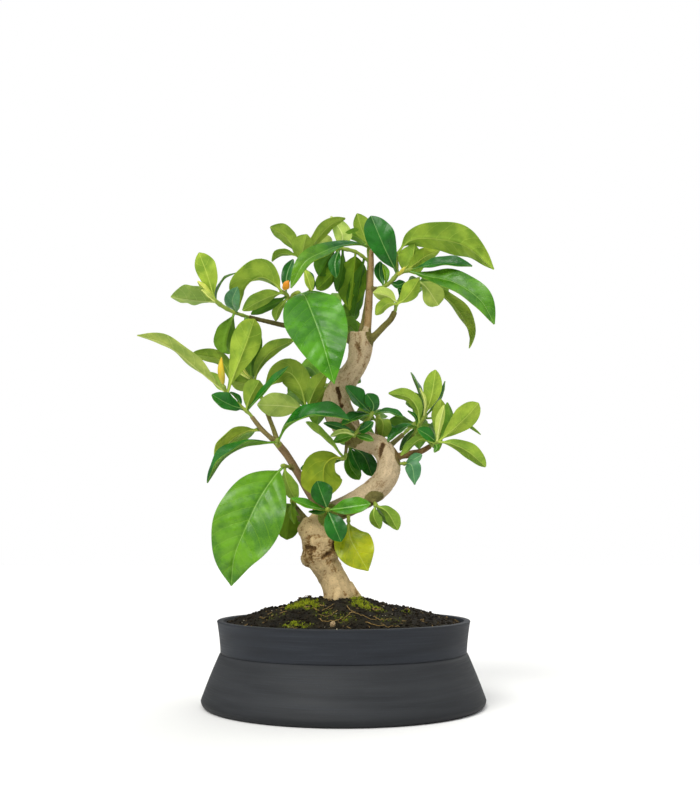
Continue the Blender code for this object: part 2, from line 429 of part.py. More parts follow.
            leaf("mid", 15.5, 166, (62, 167.4, -1), (71.8, 175.4, -6), (81.2, 184.2, -9), (89.2, 193.2, -10),
                 fold=10, peak=0.66),
            leaf("mid", 11.5, 154, (62, 167.2, -1), (72.4, 165.8, -7), (83.6, 160.0, -11), (93.4, 150.8, -12),
                 peak=0.62),
            leaf("mid", 12, 165, (62, 167.4, -1), (63.8, 180, 1), (64, 195.6, 1)),
            leaf("dark", 9, 150, (62, 167.4, -1), (69.6, 179, 2), (68.4, 193.4, 3)),
            leaf("pale", 6, 160, (61, 167, -1), (63, 179, -6), (66.2, 191.6, -7)),
            leaf("mid", 4.5, 20, (60, 166.2, -1), (61.4, 163.2, -4), (59.4, 160.4, -5)),
            leaf("dark", 9, 30, (61, 166.8, -1), (56, 171.4, -6), (48.6, 175.8, -9)),
            leaf("mid", 7.5, 140, (60, 166.2, -1), (49.6, 169.4, -6), (37.2, 158.2, -8)),
            leaf("dark", 12, 150, (61.4, 167, -1), (61, 173, 15), (63, 181, 30)),
        ]},
    "spray_right_upper": {
        "twig": "right_up_twig",
        "stems": [[(48.0, 175.6, 5), (50.0, 179.2, 4), (53.2, 184.2, 3)]],
        "leaves": [
            leaf("bright", 12.5, 170, (53.2, 184.2, 3), (58.0, 198, -1), (60.9, 215.4, -2), fold=10, peak=0.62),
            leaf("mid", 10, 150, (50, 179.2, 4), (49.0, 189.6, -1), (42.6, 197.6, -4), (29.6, 199.8, -5)),
            leaf("dark", 10, 80, (52, 182.4, 3.4), (51, 198, 4), (44.8, 213.8, 3), fold=14),
            leaf("yellow", 2.6, 160, (53.2, 184.2, 3), (54, 194, -3), (50.6, 203.2, -4)),
            leaf("dark", 8, 78, (53.2, 184.2, 3), (63.6, 196, 10), (67.0, 207.8, 12), fold=8),
            leaf("mid", 9, 104, (52.6, 183.2, 3), (66, 183.4, 12), (78, 180.4, 14), (90.4, 172.2, 12)),
            leaf("dark", 9.5, 58, (49, 177.4, 4.6), (40, 177.2, -1), (28.6, 167.4, -3), fold=20),
            leaf("dark", 2.6, 40, (49, 177.4, 4.6), (47.2, 184, 3.5), (42.4, 188, 3)),
            leaf("deep", 6, 30, (49, 177.4, 4.6), (43.2, 170.5, 11), (36.8, 161.4, 12)),
            leaf("dark", 14, 150, (51, 180.8, 3.8), (50, 190, 18), (46, 190, 34)),
        ]},
    "spray_back_right": {
        "twig": "back_twig_right",
        "stems": [[(42.0, 175.0, 26), (48.0, 180.0, 34), (54.0, 184.0, 42)]],
        "leaves": whorled("dark", 31, 14, [(42.0, 175.0, 26), (48.0, 180.0, 34), (54.0, 184.0, 42)], 5, 75)},
}

# Buds: unopened leaves that stand on their own just past a stem, as (x, z, back, radius)
BUDS = {
    "bud_left": [(-80.4, 205.6, -6.6, 1.0), (-81.6, 210.6, -8.0, 2.1), (-82.0, 216.5, -9.0, 2.0),
                 (-81.8, 224.0, -9.5, 0.7)],
    "bud_upper_left": [(-40.6, 270.6, -3.0, 1.4), (-39.4, 272.6, -4.6, 2.4), (-38.4, 274.6, -5.8, 2.0),
                       (-37.4, 276.6, -6.6, 0.8)],
    "bud_upper_right": [(36.4, 280.0, -3.4, 0.9), (38.0, 282.0, -4.4, 1.3), (39.6, 284.0, -5.0, 1.1),
                        (41.6, 286.2, -5.4, 0.5)],
}


# Curves and blades
def smooth(rows, count):
    """count + 1 rows, evenly spaced along a smooth curve through the given rows."""
    rows = [np.array(row, dtype=float) for row in rows]
    knots = [2 * rows[0] - rows[1]] + rows + [2 * rows[-1] - rows[-2]]
    fine = []
    for a, b, c, d in zip(knots, knots[1:], knots[2:], knots[3:]):
        for t in np.arange(0.0, 1.0, 0.1):
            fine.append(b + 0.5 * ((c - a) * t + (2 * a - 5 * b + 4 * c - d) * t ** 2
                                   + (3 * b - a - 3 * c + d) * t ** 3))
    fine = np.array(fine + [rows[-1]])
    steps = np.linalg.norm(np.diff(fine[:, :3], axis=0), axis=1)
    travelled = np.concatenate(([0.0], np.cumsum(steps)))
    stops = np.linspace(0.0, travelled[-1], count + 1)
    return np.array([np.interp(stops, travelled, column) for column in fine.T]).T


def placed(rows):
    """Rows of (x, z, back, radius) as rows of metres."""
    return [(*place(x, z, back), radius * MM) for x, z, back, radius in rows]


def length_of(rows):
    """Length in metres of the broken line through rows."""
    return sum((Vector(b[:3]) - Vector(a[:3])).length for a, b in zip(rows, rows[1:]))


def twig_rows(name):
    """Rows of metres along a twig of the trunk."""
    rows = placed(TWIGS[name])
    return smooth(rows, max(2, round(length_of(rows) / MM / TWIG_SPACING)))


def stem_rows(spray):
    """Rows of metres for each green stem of a spray; the first starts just past its twig's flat end."""
    twig = twig_rows(spray["twig"])
    end = Vector(twig[-1][:3])
    ahead = (end - Vector(twig[-2][:3])).normalized() * MM
    stems = []
    for number, stem in enumerate(spray["stems"]):
        points = [place(*stop) for stop in stem]
        if number == 0:
            points.insert(0, end + ahead * (GAP + STEM_LEAD))
        radii = np.linspace(STEM_RADIUS[0], STEM_RADIUS[1], len(points)) * MM
        rows = [(*point, radius) for point, radius in zip(points, radii)]
        stems.append(smooth(rows, max(1, round(length_of(rows) / MM / STEM_SPACING))))
    start = (*(end + ahead * GAP), min(STEM_RADIUS[0] * MM, twig[-1][3]))
    stems[0] = np.vstack((start, stems[0]))
    return stems


def nearest_on_stems(stems, point):
    """The point of the stems' centre lines nearest to a point, past the first stem's straight start."""
    best = None
    for number, stem in enumerate(stems):
        rest = stem[1:] if number == 0 else stem
        for a, b in zip(rest, rest[1:]):
            foot = Vector(a[:3])
            run = Vector(b[:3]) - foot
            share = max(0.0, min(0.97, (point - foot).dot(run) / run.length_squared))
            candidate = foot + run * share
            if best is None or (candidate - point).length < (best - point).length:
                best = candidate
    return best


def half_width(leaf_, along):
    """Half the width in metres of a leaf at a share of its length."""
    share = max(0.0, min(1.0, (along - STALK_SHARE) / (1 - STALK_SHARE)))
    rise = OUTLINE_POWER * leaf_["peak"]
    fall = OUTLINE_POWER * (1 - leaf_["peak"])
    top = leaf_["peak"] ** rise * (1 - leaf_["peak"]) ** fall
    full = leaf_["width"] / 2 * share ** rise * (1 - share) ** fall / top
    least = STALK_HALF_WIDTH + (TIP_HALF_WIDTH - STALK_HALF_WIDTH) * along
    return max(full, least) * MM


def blade(leaf_, start):
    """A leaf's surface: a function of the share along it and of the place across it, from -1 to 1."""
    route = [start] + [place(*stop) for stop in leaf_["route"][1:]]
    path = smooth(route, BLADE_STATIONS)
    tangents = np.gradient(path, axis=0)
    chord = Vector(path[-1] - path[0])
    sight = Vector(path[BLADE_STATIONS // 2]) - Vector(EYE) * MM
    level = chord.cross(sight).normalized()
    sign = 1 if chord.x < 0 else -1
    fold = math.radians(leaf_["fold"])

    def surface(along, across):
        at = min(along, 0.9999) * BLADE_STATIONS
        index = int(at)
        centre = Vector(path[index]).lerp(Vector(path[index + 1]), at - index)
        ahead = Vector(tangents[index]).lerp(Vector(tangents[index + 1]), at - index).normalized()
        left = (level - ahead * level.dot(ahead)).normalized()
        front = ahead.cross(left)
        turn = math.radians(leaf_["face"] + leaf_["twist"] * along) * sign
        out = left * math.cos(turn) + front * math.sin(turn)
        up = ahead.cross(out)
        half = half_width(leaf_, along)
        wave = WAVE * across ** 2 * math.sin(2 * math.pi * WAVE_COUNT * along + 2 * across)
        rise = abs(across) * math.sin(fold) + wave * min(1.0, 4 * (1 - along))
        return centre + out * across * half * math.cos(fold) + up * half * rise

    return surface


# Building blocks
def clear_scene():
    """Remove every object that the scene already holds."""
    for item in list(bpy.data.objects):
        bpy.data.objects.remove(item, do_unlink=True)


def new_collection(name):
    """A collection linked to the scene."""
    group = bpy.data.collections.new(name)
    bpy.context.scene.collection.children.link(group)
    return group


def material(name, roughness):
    """A Principled material in one of the object's colours."""
    finish = bpy.data.materials.new(name)
    finish.use_nodes = True
    shader = finish.node_tree.nodes["Principled BSDF"]
    shader.inputs["Base Color"].default_value = (*COLOURS[name], 1.0)
    shader.inputs["Roughness"].default_value = roughness
    shader.inputs["Metallic"].default_value = 0.0
    return finish


def add_mesh(name, mesh, group):
    """A new object for a mesh in a collection."""
    item = bpy.data.objects.new(name, mesh)
    group.objects.link(item)
    return item


def primitive(group):
    """The primitive just added, moved into a collection."""
    item = bpy.context.object
    for holder in list(item.users_collection):
        holder.objects.unlink(item)
    group.objects.link(item)
    return item


def baked(item):
    """The mesh of an object with its modifiers applied, as a fresh mesh."""
    graph = bpy.context.evaluated_depsgraph_get()
    return bpy.data.meshes.new_from_object(item.evaluated_get(graph), depsgraph=graph)


def tube(name, rows, bevel_resolution, group):
    """A closed mesh tube along rows of (x, y, z, radius) in metres, with flat ends."""
    curve = bpy.data.curves.new(name, "CURVE")
    curve.dimensions = "3D"
    curve.bevel_depth = MM
    curve.bevel_resolution = bevel_resolution
    curve.use_fill_caps = True
    curve.twist_mode = "MINIMUM"
    spline = curve.splines.new("POLY")
    spline.points.add(len(rows) - 1)
    for point, row in zip(spline.points, rows):
        point.co = (*row[:3], 1.0)
        point.radius = row[3] / MM
    wire = add_mesh(name, curve, group)
    mesh = baked(wire)
    bpy.data.objects.remove(wire, do_unlink=True)
    bpy.data.curves.remove(curve)
    shell = bmesh.new()
    shell.from_mesh(mesh)
    bmesh.ops.remove_doubles(shell, verts=shell.verts, dist=1e-6)
    shell.to_mesh(mesh)
    shell.free()
    return add_mesh(name, mesh, group)


def is_whole(shell):
    """Whether a bmesh is one body, closed all over."""
    if any(len(edge.link_faces) != 2 for edge in shell.edges):
        return False
    shell.faces.ensure_lookup_table()
    reached = {shell.faces[0]}
    front = [shell.faces[0]]
    while front:
        for edge in front.pop().edges:
            fresh = [face for face in edge.link_faces if face not in reached]
            reached.update(fresh)
            front.extend(fresh)
    return len(reached) == len(shell.faces)


def thin_out(mesh):
    """Merge the short edges and flat slivers that a union leaves, as far as the body stays whole."""
    for merge, flat in THINNING:
        shell = bmesh.new()
        shell.from_mesh(mesh)
        bmesh.ops.remove_doubles(shell, verts=shell.verts, dist=merge * MM)
        bmesh.ops.dissolve_limit(shell, angle_limit=math.radians(flat), verts=shell.verts, edges=shell.edges)
        bmesh.ops.triangulate(shell, faces=shell.faces)
        whole = is_whole(shell)
        if whole:
            shell.to_mesh(mesh)
        shell.free()
        if whole:
            return


def joined(name, pieces, group):
    """One closed body made of overlapping pieces by a Boolean union."""
    first, rest = pieces[0], pieces[1:]
    extra = bpy.data.collections.new(name + "_pieces")
    for piece in rest:
        group.objects.unlink(piece)
        extra.objects.link(piece)
    bpy.context.scene.collection.children.link(extra)
    union = first.modifiers.new("Union", "BOOLEAN")
    union.operation = "UNION"
    union.operand_type = "COLLECTION"
    union.collection = extra
    union.solver = "MANIFOLD"
    mesh = baked(first)
    for piece in pieces:
        bpy.data.objects.remove(piece, do_unlink=True)
    bpy.data.collections.remove(extra)
    thin_out(mesh)
    return add_mesh(name, mesh, group)


def finish_object(item, name, finish):
    """Name an object and its mesh, give it its material and shade it smooth with sharp edges."""
    item.name = name
    item.data.name = name
    item.data.materials.clear()
    item.data.materials.append(finish)
    item.data.shade_smooth()
    item.data.set_sharp_from_angle(angle=math.radians(40))


# Planter and soil
def outer_wall():
    """The planter's outside from rim to waist to foot, as (radius, height) in millimetres."""
    points = []
    for share in (1.0, 0.72, 0.44, 0.2, 0.0):
        radius = WAIST_RADIUS + (RIM_RADIUS - WAIST_RADIUS) * share ** COLLAR_CURVE
        points.append((radius, WAIST_HEIGHT + (RIM_HEIGHT - WAIST_HEIGHT) * share))
    for share in (0.25, 0.5, 0.75, 1.0):
        spread = share + SKIRT_BULGE * share * (1 - share)
        radius = WAIST_RADIUS + (FOOT_RADIUS - WAIST_RADIUS) * spread
        points.append((radius, WAIST_HEIGHT + (FOOT_HEIGHT - WAIST_HEIGHT) * share))
    return points


def inner_wall(inset):
    """The planter's inside from rim to floor, moved in by inset."""
    points = [(radius - WALL - inset, height) for radius, height in outer_wall()]
    reach = points[-1][0]
    return points[:-1] + [(reach, FLOOR + inset)]


def foot_arc():
    """The rounded lower edge of the planter, from its widest line to its underside."""
    points = []
    for angle in (30, 60, 90):
        turn = math.radians(angle)
        radius = FOOT_RADIUS - FOOT_ROUND * (1 - math.cos(turn))
        points.append((radius, FOOT_HEIGHT - FOOT_HEIGHT * math.sin(turn)))
    return points


def turned(name, profile, group):
    """A body turned about Z from a profile of (radius, height) in millimetres."""
    mesh = bpy.data.meshes.new(name)
    points = [(radius * MM, 0.0, height * MM) for radius, height in profile]
    mesh.from_pydata(points, [(step, step + 1) for step in range(len(points) - 1)], [])
    item = add_mesh(name, mesh, group)
    screw = item.modifiers.new("Turn", "SCREW")
    screw.angle = math.tau
    screw.steps = TURN_STEPS
    screw.render_steps = TURN_STEPS
    screw.use_merge_vertices = True
    screw.merge_threshold = 1e-5
    solid = add_mesh(name, baked(item), group)
    bpy.data.objects.remove(item, do_unlink=True)
    return solid


def build_planter(group):
    """The planter: one open shell with an even wall and a flat underside."""
    outside = outer_wall()
    inside = inner_wall(0.0)
    rim = [(inside[0][0] + RIM_ROUND, RIM_HEIGHT), (RIM_RADIUS - RIM_ROUND, RIM_HEIGHT)]
    lip_drop = RIM_HEIGHT - RIM_ROUND
    inside[0] = (inside[0][0], lip_drop)
    outside[0] = (outside[0][0], lip_drop)
    profile = [(0.0, FLOOR)] + inside[::-1] + rim + outside + foot_arc() + [(0.0, 0.0)]
    planter = turned("planter", profile, group)
    finish_object(planter, "planter", material("slate", 0.6))


def mound_height(x, y):
    """Height of the soil's surface in millimetres over a point."""
    radius = math.hypot(x, y)
    height = np.interp(radius, [row[0] for row in MOUND], [row[1] for row in MOUND])
    for bump_x, bump_y, reach, rise in MOUND_BUMPS:
        height += rise * math.exp(-((x - bump_x) ** 2 + (y - bump_y) ** 2) / reach ** 2)
    return height + SOIL_ROUGHNESS * noise.noise((x / 6, y / 6, 1.7))


def build_soil(group, cutters):
    """The soil: it fills the planter, with a mound on top and a plain hole for the trunk."""
    wall = inner_wall(GAP)
    top = [(radius, mound_height(radius, 0.0)) for radius, height in MOUND[:-1]]
    below = [point for point in wall if point[1] < SOIL_SIDE_HEIGHT]
    profile = top + [(SOIL_EDGE_RADIUS, SOIL_EDGE_HEIGHT)] + below + [(0.0, FLOOR + GAP)]
    soil = turned("soil", profile, group)
    for vertex in soil.data.vertices:
        x, y, z = vertex.co / MM
        if z > SOIL_EDGE_HEIGHT + 1.0:
            vertex.co.z = mound_height(x, y) * MM
    depth = RIM_HEIGHT * 2 - PLUG_BOTTOM
    bpy.ops.mesh.primitive_cylinder_add(vertices=32, radius=(PLUG_RADIUS + GAP) * MM, depth=depth * MM)
    hole = primitive(cutters)
    hole.name = "trunk_hole"
    hole.location = (PLUG_CENTRE[0] * MM, PLUG_CENTRE[1] * MM, (PLUG_BOTTOM - GAP + depth / 2) * MM)
    hole.hide_render = True
    hole.display_type = "WIRE"
    cut = soil.modifiers.new("Hole", "BOOLEAN")
    cut.operation = "DIFFERENCE"
    cut.object = hole
    finish_object(soil, "soil", material("soil", 0.95))


# Trunk
def gnarl(item):
    """Let the bark of a tube rise and fall by smooth noise."""
    for vertex in item.data.vertices:
        swell = noise.noise(vertex.co / MM / 8) + 0.5 * noise.noise(vertex.co / MM / 4)
        vertex.co += vertex.normal * swell * BARK_ROUGHNESS * MM


def build_trunk(group):
    """The trunk with its limbs, twigs, stubs, burrs and root ridges, fused in one body."""
    pieces = []
    bpy.ops.mesh.primitive_cylinder_add(vertices=24, radius=PLUG_RADIUS * MM,
                                        depth=(PLUG_TOP - PLUG_BOTTOM) * MM)
    plug = primitive(group)
    shift = Vector((PLUG_CENTRE[0], PLUG_CENTRE[1], (PLUG_TOP + PLUG_BOTTOM) / 2)) * MM
    for vertex in plug.data.vertices:
        vertex.co += shift
    pieces.append(plug)
    for rows in (TRUNK_FOOT, TRUNK_LOOP):
        rows = placed(rows)
        rings = round(length_of(rows) / MM / RING_SPACING)
        limb = tube("trunk", smooth(rows, rings), 3, group)
        gnarl(limb)
        pieces.append(limb)
    for x, z, back, radius in BURRS:
        bpy.ops.mesh.primitive_ico_sphere_add(subdivisions=2, radius=radius * MM)
        burr = primitive(group)
        for vertex in burr.data.vertices:
            vertex.co += place(x, z, back)
        pieces.append(burr)
    for root in ROOTS:
        start = place(*[(a + b) / 2 for a, b in zip(root, (-2.5, 84.0, 0))])
        rows = [(*start, 2.6 * MM), (*place(*root), 2.6 * MM)]
        pieces.append(tube("root", rows, 1, group))
    for name in TWIGS:
        pieces.append(tube(name, twig_rows(name), 1, group))
    trunk = joined("trunk", pieces, group)
    finish_object(trunk, "trunk", material("bark", 0.85))


# Leaves
def blade_rows(leaf_, start):
    """How many rows of faces a blade gets, by its length."""
    route = [start] + [place(*stop) for stop in leaf_["route"][1:]]
    return max(3, min(7, round(1.2 + length_of(route) / MM / ROW_LENGTH)))


def leaf_solid(name, leaf_, start, group):
    """A leaf as a closed blade of even thickness."""
    surface = blade(leaf_, start)
    grid = bmesh.new()
    halves = 2 if leaf_["width"] >= NARROW_LEAF else 1
    bmesh.ops.create_grid(grid, x_segments=halves, y_segments=blade_rows(leaf_, start), size=1.0)
    for vertex in grid.verts:
        vertex.co = surface((vertex.co.y + 1) / 2, vertex.co.x)
    bmesh.ops.triangulate(grid, faces=grid.faces)
    mesh = bpy.data.meshes.new(name)
    grid.to_mesh(mesh)
    grid.free()
    sheet = add_mesh(name, mesh, group)
    thick = sheet.modifiers.new("Thickness", "SOLIDIFY")
    thick.thickness = BLADE_THICKNESS * MM
    thick.offset = 0.0
    solid = add_mesh(name, baked(sheet), group)
    bpy.data.objects.remove(sheet, do_unlink=True)
    return solid


def spray_pieces(name, spray, group):
    """The overlapping stems and blades of a spray, as separate closed solids."""
    stems = stem_rows(spray)
    pieces = []
    for stem in stems:
        pieces.append(tube(name + "_stem", stem, 1, group))
    for number, leaf_ in enumerate(spray["leaves"]):
        start = nearest_on_stems(stems, place(*leaf_["route"][0]))
        pieces.append(leaf_solid(f"{name}_leaf_{number}", leaf_, start, group))
    return pieces


def build_sprays(group):
    """Each spray as one body of stems and leaves."""
    green = material("green", 0.35)
    yellow = material("yellow", 0.4)
    for name, spray in SPRAYS.items():
        body = joined(name, spray_pieces(name, spray, group), group)
        finish_object(body, name, yellow if name == "leaf_yellow" else green)


def build_buds(group):
    """The unopened buds."""
    finish = material("bud", 0.4)
    for name, rows in BUDS.items():
        body = tube(name, smooth(placed(rows), 6), 1, group)
        finish_object(body, name, finish)


def main():
    """Build the whole plant."""
    clear_scene()
    group = new_collection("gardenia_bonsai")
    cutters = new_collection("cutters")
    build_planter(group)
    build_soil(group, cutters)
    build_trunk(group)
    build_sprays(group)
    build_buds(group)


main()
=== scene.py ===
"""Looks of a gardenia bonsai in a round dark planter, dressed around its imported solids.

Every leaf, stem, limb and turned profile follows the same routes as the solids: fine blades with veins,
bark with cracks and pits, crumbly soil with moss and roots, and a brushed dark planter. X points right
and Y to the back as the plant is seen from the front, Z up, in metres.
"""

import math
import random

import bmesh
import bpy
import numpy as np
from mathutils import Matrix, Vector, kdtree, noise


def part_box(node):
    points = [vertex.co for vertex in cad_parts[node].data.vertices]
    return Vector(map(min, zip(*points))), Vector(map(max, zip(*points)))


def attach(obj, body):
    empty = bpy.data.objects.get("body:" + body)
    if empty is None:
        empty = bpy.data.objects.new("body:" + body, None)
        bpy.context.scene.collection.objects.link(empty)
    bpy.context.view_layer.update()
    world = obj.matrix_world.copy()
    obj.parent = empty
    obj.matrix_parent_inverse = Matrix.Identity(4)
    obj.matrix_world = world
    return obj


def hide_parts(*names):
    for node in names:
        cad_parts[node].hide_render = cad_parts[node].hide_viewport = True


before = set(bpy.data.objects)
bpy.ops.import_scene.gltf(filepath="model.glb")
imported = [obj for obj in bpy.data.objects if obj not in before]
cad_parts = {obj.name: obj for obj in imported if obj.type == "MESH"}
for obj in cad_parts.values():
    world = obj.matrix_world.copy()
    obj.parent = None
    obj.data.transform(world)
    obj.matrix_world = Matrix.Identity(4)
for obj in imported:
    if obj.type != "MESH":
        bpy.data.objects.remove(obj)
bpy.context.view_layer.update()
MM = 0.001
GAP = 0.3                   # between a twig's end and the stem that goes on from it

# Planter and soil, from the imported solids
PLANTER_LOW, PLANTER_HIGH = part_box("planter")
FOOT_RADIUS = PLANTER_HIGH.x / MM
RIM_HEIGHT = PLANTER_HIGH.z / MM
FOOT_HEIGHT = 3.9           # height of the planter's widest line
FOOT_ROUND = 3.6            # rounding of the lower edge
WAIST_RADIUS = 78.4
WAIST_HEIGHT = 33.1
RIM_RADIUS = 80.9
RIM_ROUND = 0.8
WALL = 4.2
FLOOR = 5.0
MOUND = [(0.0, 66.4), (16.0, 65.6), (26.0, 62.8), (38.0, 60.2), (51.0, 57.6), (64.0, 53.9), (76.0, 50.0)]
MOUND_BUMPS = [(-27.0, 1.0, 9.0, 3.2), (-50.0, 3.0, 9.0, 1.6), (14.0, -2.0, 7.0, 0.6), (26.0, 4.0, 9.0, -1.4),
               (-8.0, -26.0, 10.0, 1.2), (40.0, -22.0, 9.0, 0.9), (-30.0, 34.0, 12.0, 1.3)]
PLUG_CENTRE = (-2.0, 0.0)
PLUG_RADIUS = 12.6

# Stems
TWIG_SPACING = 3.0          # between the rings of a twig
STEM_SPACING = 1.5          # the same for a green stem
STEM_LEAD = 1.2             # how far a green stem goes on in line with its twig
STEM_RADIUS = (1.35, 1.9)   # green stem, at its start and at its tip, where the leaves sit

# Leaf blades
BLADE_THICKNESS = 0.45
STALK_HALF_WIDTH = 0.8      # of the narrow start of a blade
TIP_HALF_WIDTH = 0.35
STALK_SHARE = 0.07          # of a leaf's length that is stalk
OUTLINE_POWER = 1.9         # higher makes slimmer ends
WAVE = 0.09                 # of a blade's edge, against its half width
WAVE_COUNT = 2.5
BLADE_STATIONS = 24

# Places on the plant
# A place is (x, z, back) in millimetres: what stands over the point x, z of the upright plane through
# the foot of the trunk when the plant is seen from the front, and how far behind that plane it lies.
EYE = (4.0, -657.0, 100.4)


def place(x, z, back):
    """The point in metres that a place stands for."""
    spread = 1 + back / -EYE[1]
    east = EYE[0] + (x - EYE[0]) * spread
    height = EYE[2] + (z - EYE[2]) * spread
    return Vector((east, back, height)) * MM


# Trunk and woody twigs: rows of (x, z, back, radius)
TRUNK_FOOT = [(-2.0, 60.0, 0, 10.6), (-3.0, 68.0, 0, 10.2), (-5.8, 76.0, 0, 9.2), (-9.3, 82.5, 0, 9.0),
              (-13.0, 88.5, 0, 9.8), (-15.2, 94.5, 0, 11.2), (-15.8, 100.5, 0, 11.2),
              (-18.0, 106.5, 0, 10.6), (-20.2, 112.0, 0, 9.4), (-20.0, 117.0, 0, 6.0)]
TRUNK_LOOP = [(-19.0, 113.0, 1, 6.5), (-12.0, 118.5, 2, 7.0), (-4.0, 122.3, 3, 7.2), (5.5, 126.5, 3, 7.2),
              (15.0, 132.0, 2, 7.7), (23.5, 138.5, 1, 8.0), (28.6, 147.0, 0, 8.0), (28.8, 156.5, 0, 7.6),
              (23.8, 163.5, 2, 7.0), (15.5, 167.0, 5, 6.8), (8.0, 169.5, 7, 6.8), (2.0, 175.0, 8, 7.4),
              (-3.0, 183.0, 7, 8.8), (-5.0, 191.0, 6, 9.6), (-3.7, 199.0, 5, 9.0), (-0.2, 206.0, 4, 8.1),
              (4.5, 213.0, 4, 7.4), (9.0, 221.0, 4, 7.2), (11.0, 230.0, 4, 8.2), (11.6, 240.0, 4, 8.9)]
BURRS = [(-22.0, 91.5, -1, 6.2), (-9.0, 101.5, -6, 5.4), (-24.5, 109.5, 0, 6.0), (-14.0, 115.5, -2, 6.2),
         (-8.5, 93.0, -5, 5.0), (-1.0, 189.0, -1, 4.2)]
ROOTS = [(-9.6, 66.8, -3.0), (-4.0, 67.4, -9.8), (8.4, 66.8, -3.2), (6.6, 66.8, 7.6), (-7.0, 66.8, 8.6)]
TWIGS = {
    "left_limb": [(-15.0, 119.0, 1, 4.0), (-19.5, 128.0, 1, 3.0), (-24.7, 137.0, 1, 2.8),
                  (-30.5, 147.0, 0, 2.7), (-36.5, 157.0, 0, 2.6), (-43.5, 166.0, 0, 2.6)],
    "left_stem": [(-43.0, 165.0, 0, 2.0), (-49.0, 170.5, -1, 1.8), (-54.6, 175.8, -2, 1.7),
                  (-61.2, 184.2, -3, 1.6)],
    "inner_stem": [(-43.0, 165.0, 1, 1.9), (-46.0, 174.0, 3, 1.7), (-49.6, 183.5, 5, 1.6),
                   (-53.4, 193.5, 6, 1.5)],
    "fork_stub": [(-43.5, 165.5, 0, 1.9), (-43.6, 166.3, -3.8, 1.8)],
    "arch_stub": [(-52.0, 173.2, -1, 1.2), (-54.4, 174.6, 1.6, 1.1)],
    "big_leaf_stub": [(-32.6, 149.6, 0, 1.9), (-36.0, 150.6, -2.6, 1.7)],
    "front_stub": [(-10.5, 120.5, 1, 2.4), (-10.6, 121.8, -8.5, 2.0)],
    "shade_twig": [(-24.0, 115.0, 3, 2.6), (-28.5, 121.0, 5, 1.7), (-31.2, 124.8, 6, 1.4)],
    "yellow_stub": [(3.0, 121.0, 1, 1.7), (3.0, 117.4, -4, 1.4)],
    "loop_low_stub": [(18.0, 131.0, 0, 2.2), (20.2, 127.2, -5, 1.7)],
    "loop_right_stub": [(31.0, 152.5, 0, 2.2), (37.2, 152.8, -2.4, 1.5)],
    "pocket_twig": [(2.5, 168.0, 3, 1.9), (1.6, 163.0, -1, 1.3), (1.0, 158.6, -2, 1.3)],
    "centre_stub": [(6.5, 170.0, 4, 2.4), (6.8, 171.0, -2.4, 1.9)],
    "pruned_stub": [(4.4, 175.0, 6, 3.2), (4.6, 175.6, -1.6, 3.0)],
    "loop_back_stub": [(6.0, 168.5, 10, 2.2), (4.4, 166.0, 18, 1.6)],
    "loop_top_twig": [(21.0, 166.0, 6, 2.0), (21.5, 173.0, 14, 1.4), (21.8, 178.0, 16, 1.3)],
    "right_branch": [(30.0, 155.0, 1, 3.0), (37.0, 157.7, 0, 2.5), (43.5, 159.0, 0, 2.7),
                     (51.0, 161.0, 0, 2.0), (57.0, 164.4, 0, 1.8)],
    "right_up_twig": [(40.0, 159.0, 1, 1.6), (43.6, 167.0, 4, 1.2), (46.6, 172.6, 5, 1.2)],
    "mid_left_twig": [(-6.0, 187.0, 10, 2.4), (-15.0, 186.4, 11, 1.6), (-20.6, 186.6, 9, 1.4)],
    "upper_branch": [(9.0, 234.0, 4, 3.4), (-2.0, 238.0, 9, 2.4), (-18.0, 242.0, 11, 2.0),
                     (-38.0, 245.2, 9, 1.8), (-52.0, 248.4, 6, 1.7), (-64.0, 251.4, 4, 1.6)],
    "upper_left_twig": [(-38.0, 245.2, 9, 1.6), (-37.2, 251.0, 9, 1.4), (-36.6, 256.0, 8, 1.4)],
    "upper_middle_twig": [(-21.0, 242.6, 11, 1.7), (-21.0, 256.0, 12, 1.5), (-22.6, 270.0, 11, 1.4),
                          (-25.6, 281.0, 9, 1.4)],
    "top_stub": [(15.0, 237.0, 4, 3.2), (16.0, 248.0, 4, 2.7), (16.6, 256.0, 4, 2.5),
                 (17.4, 270.0, 4, 2.4), (18.2, 284.0, 4, 2.1), (18.5, 298.0, 4, 1.7)],
    "side_shoot": [(17.4, 270.6, 4, 1.6), (22.6, 271.3, 2.5, 1.4)],
    "crown_twig": [(11.0, 236.0, 9, 3.0), (14.0, 252.0, 15, 2.0), (16.0, 268.0, 16, 1.7),
                   (16.6, 284.0, 14, 1.6)],
    "right_top_branch": [(17.0, 235.0, 3, 3.0), (22.0, 240.0, 1, 2.4), (26.4, 244.6, 0, 2.3),
                         (31.4, 249.8, 0, 2.1), (34.0, 255.2, 0, 2.0)],
    "back_twig_top": [(7.0, 232.0, 9, 2.6), (2.0, 236.0, 18, 2.0), (-3.0, 240.0, 27, 1.6)],
    "back_twig_low": [(-20.0, 113.0, 6, 2.8), (-27.0, 116.0, 16, 2.0), (-36.0, 119.0, 24, 1.6)],
    "back_twig_right": [(26.0, 160.0, 4, 2.8), (32.0, 166.0, 14, 2.0), (39.0, 172.0, 22, 1.6)],
    "back_twig_middle": [(-5.0, 191.0, 12, 2.6), (-6.0, 196.0, 22, 2.0), (-8.0, 202.0, 31, 1.6)],
}


def leaf(tint, width, face, *route, fold=16, peak=0.58, twist=0):
    """A leaf along a route from stem to tip. face turns it about its midrib: 0 shows its upper side to
    the front, 90 its edge and 180 its underside. fold lifts its halves, peak is where it is widest."""
    return {"tint": tint, "width": width, "face": face, "route": route, "fold": fold, "peak": peak,
            "twist": twist}


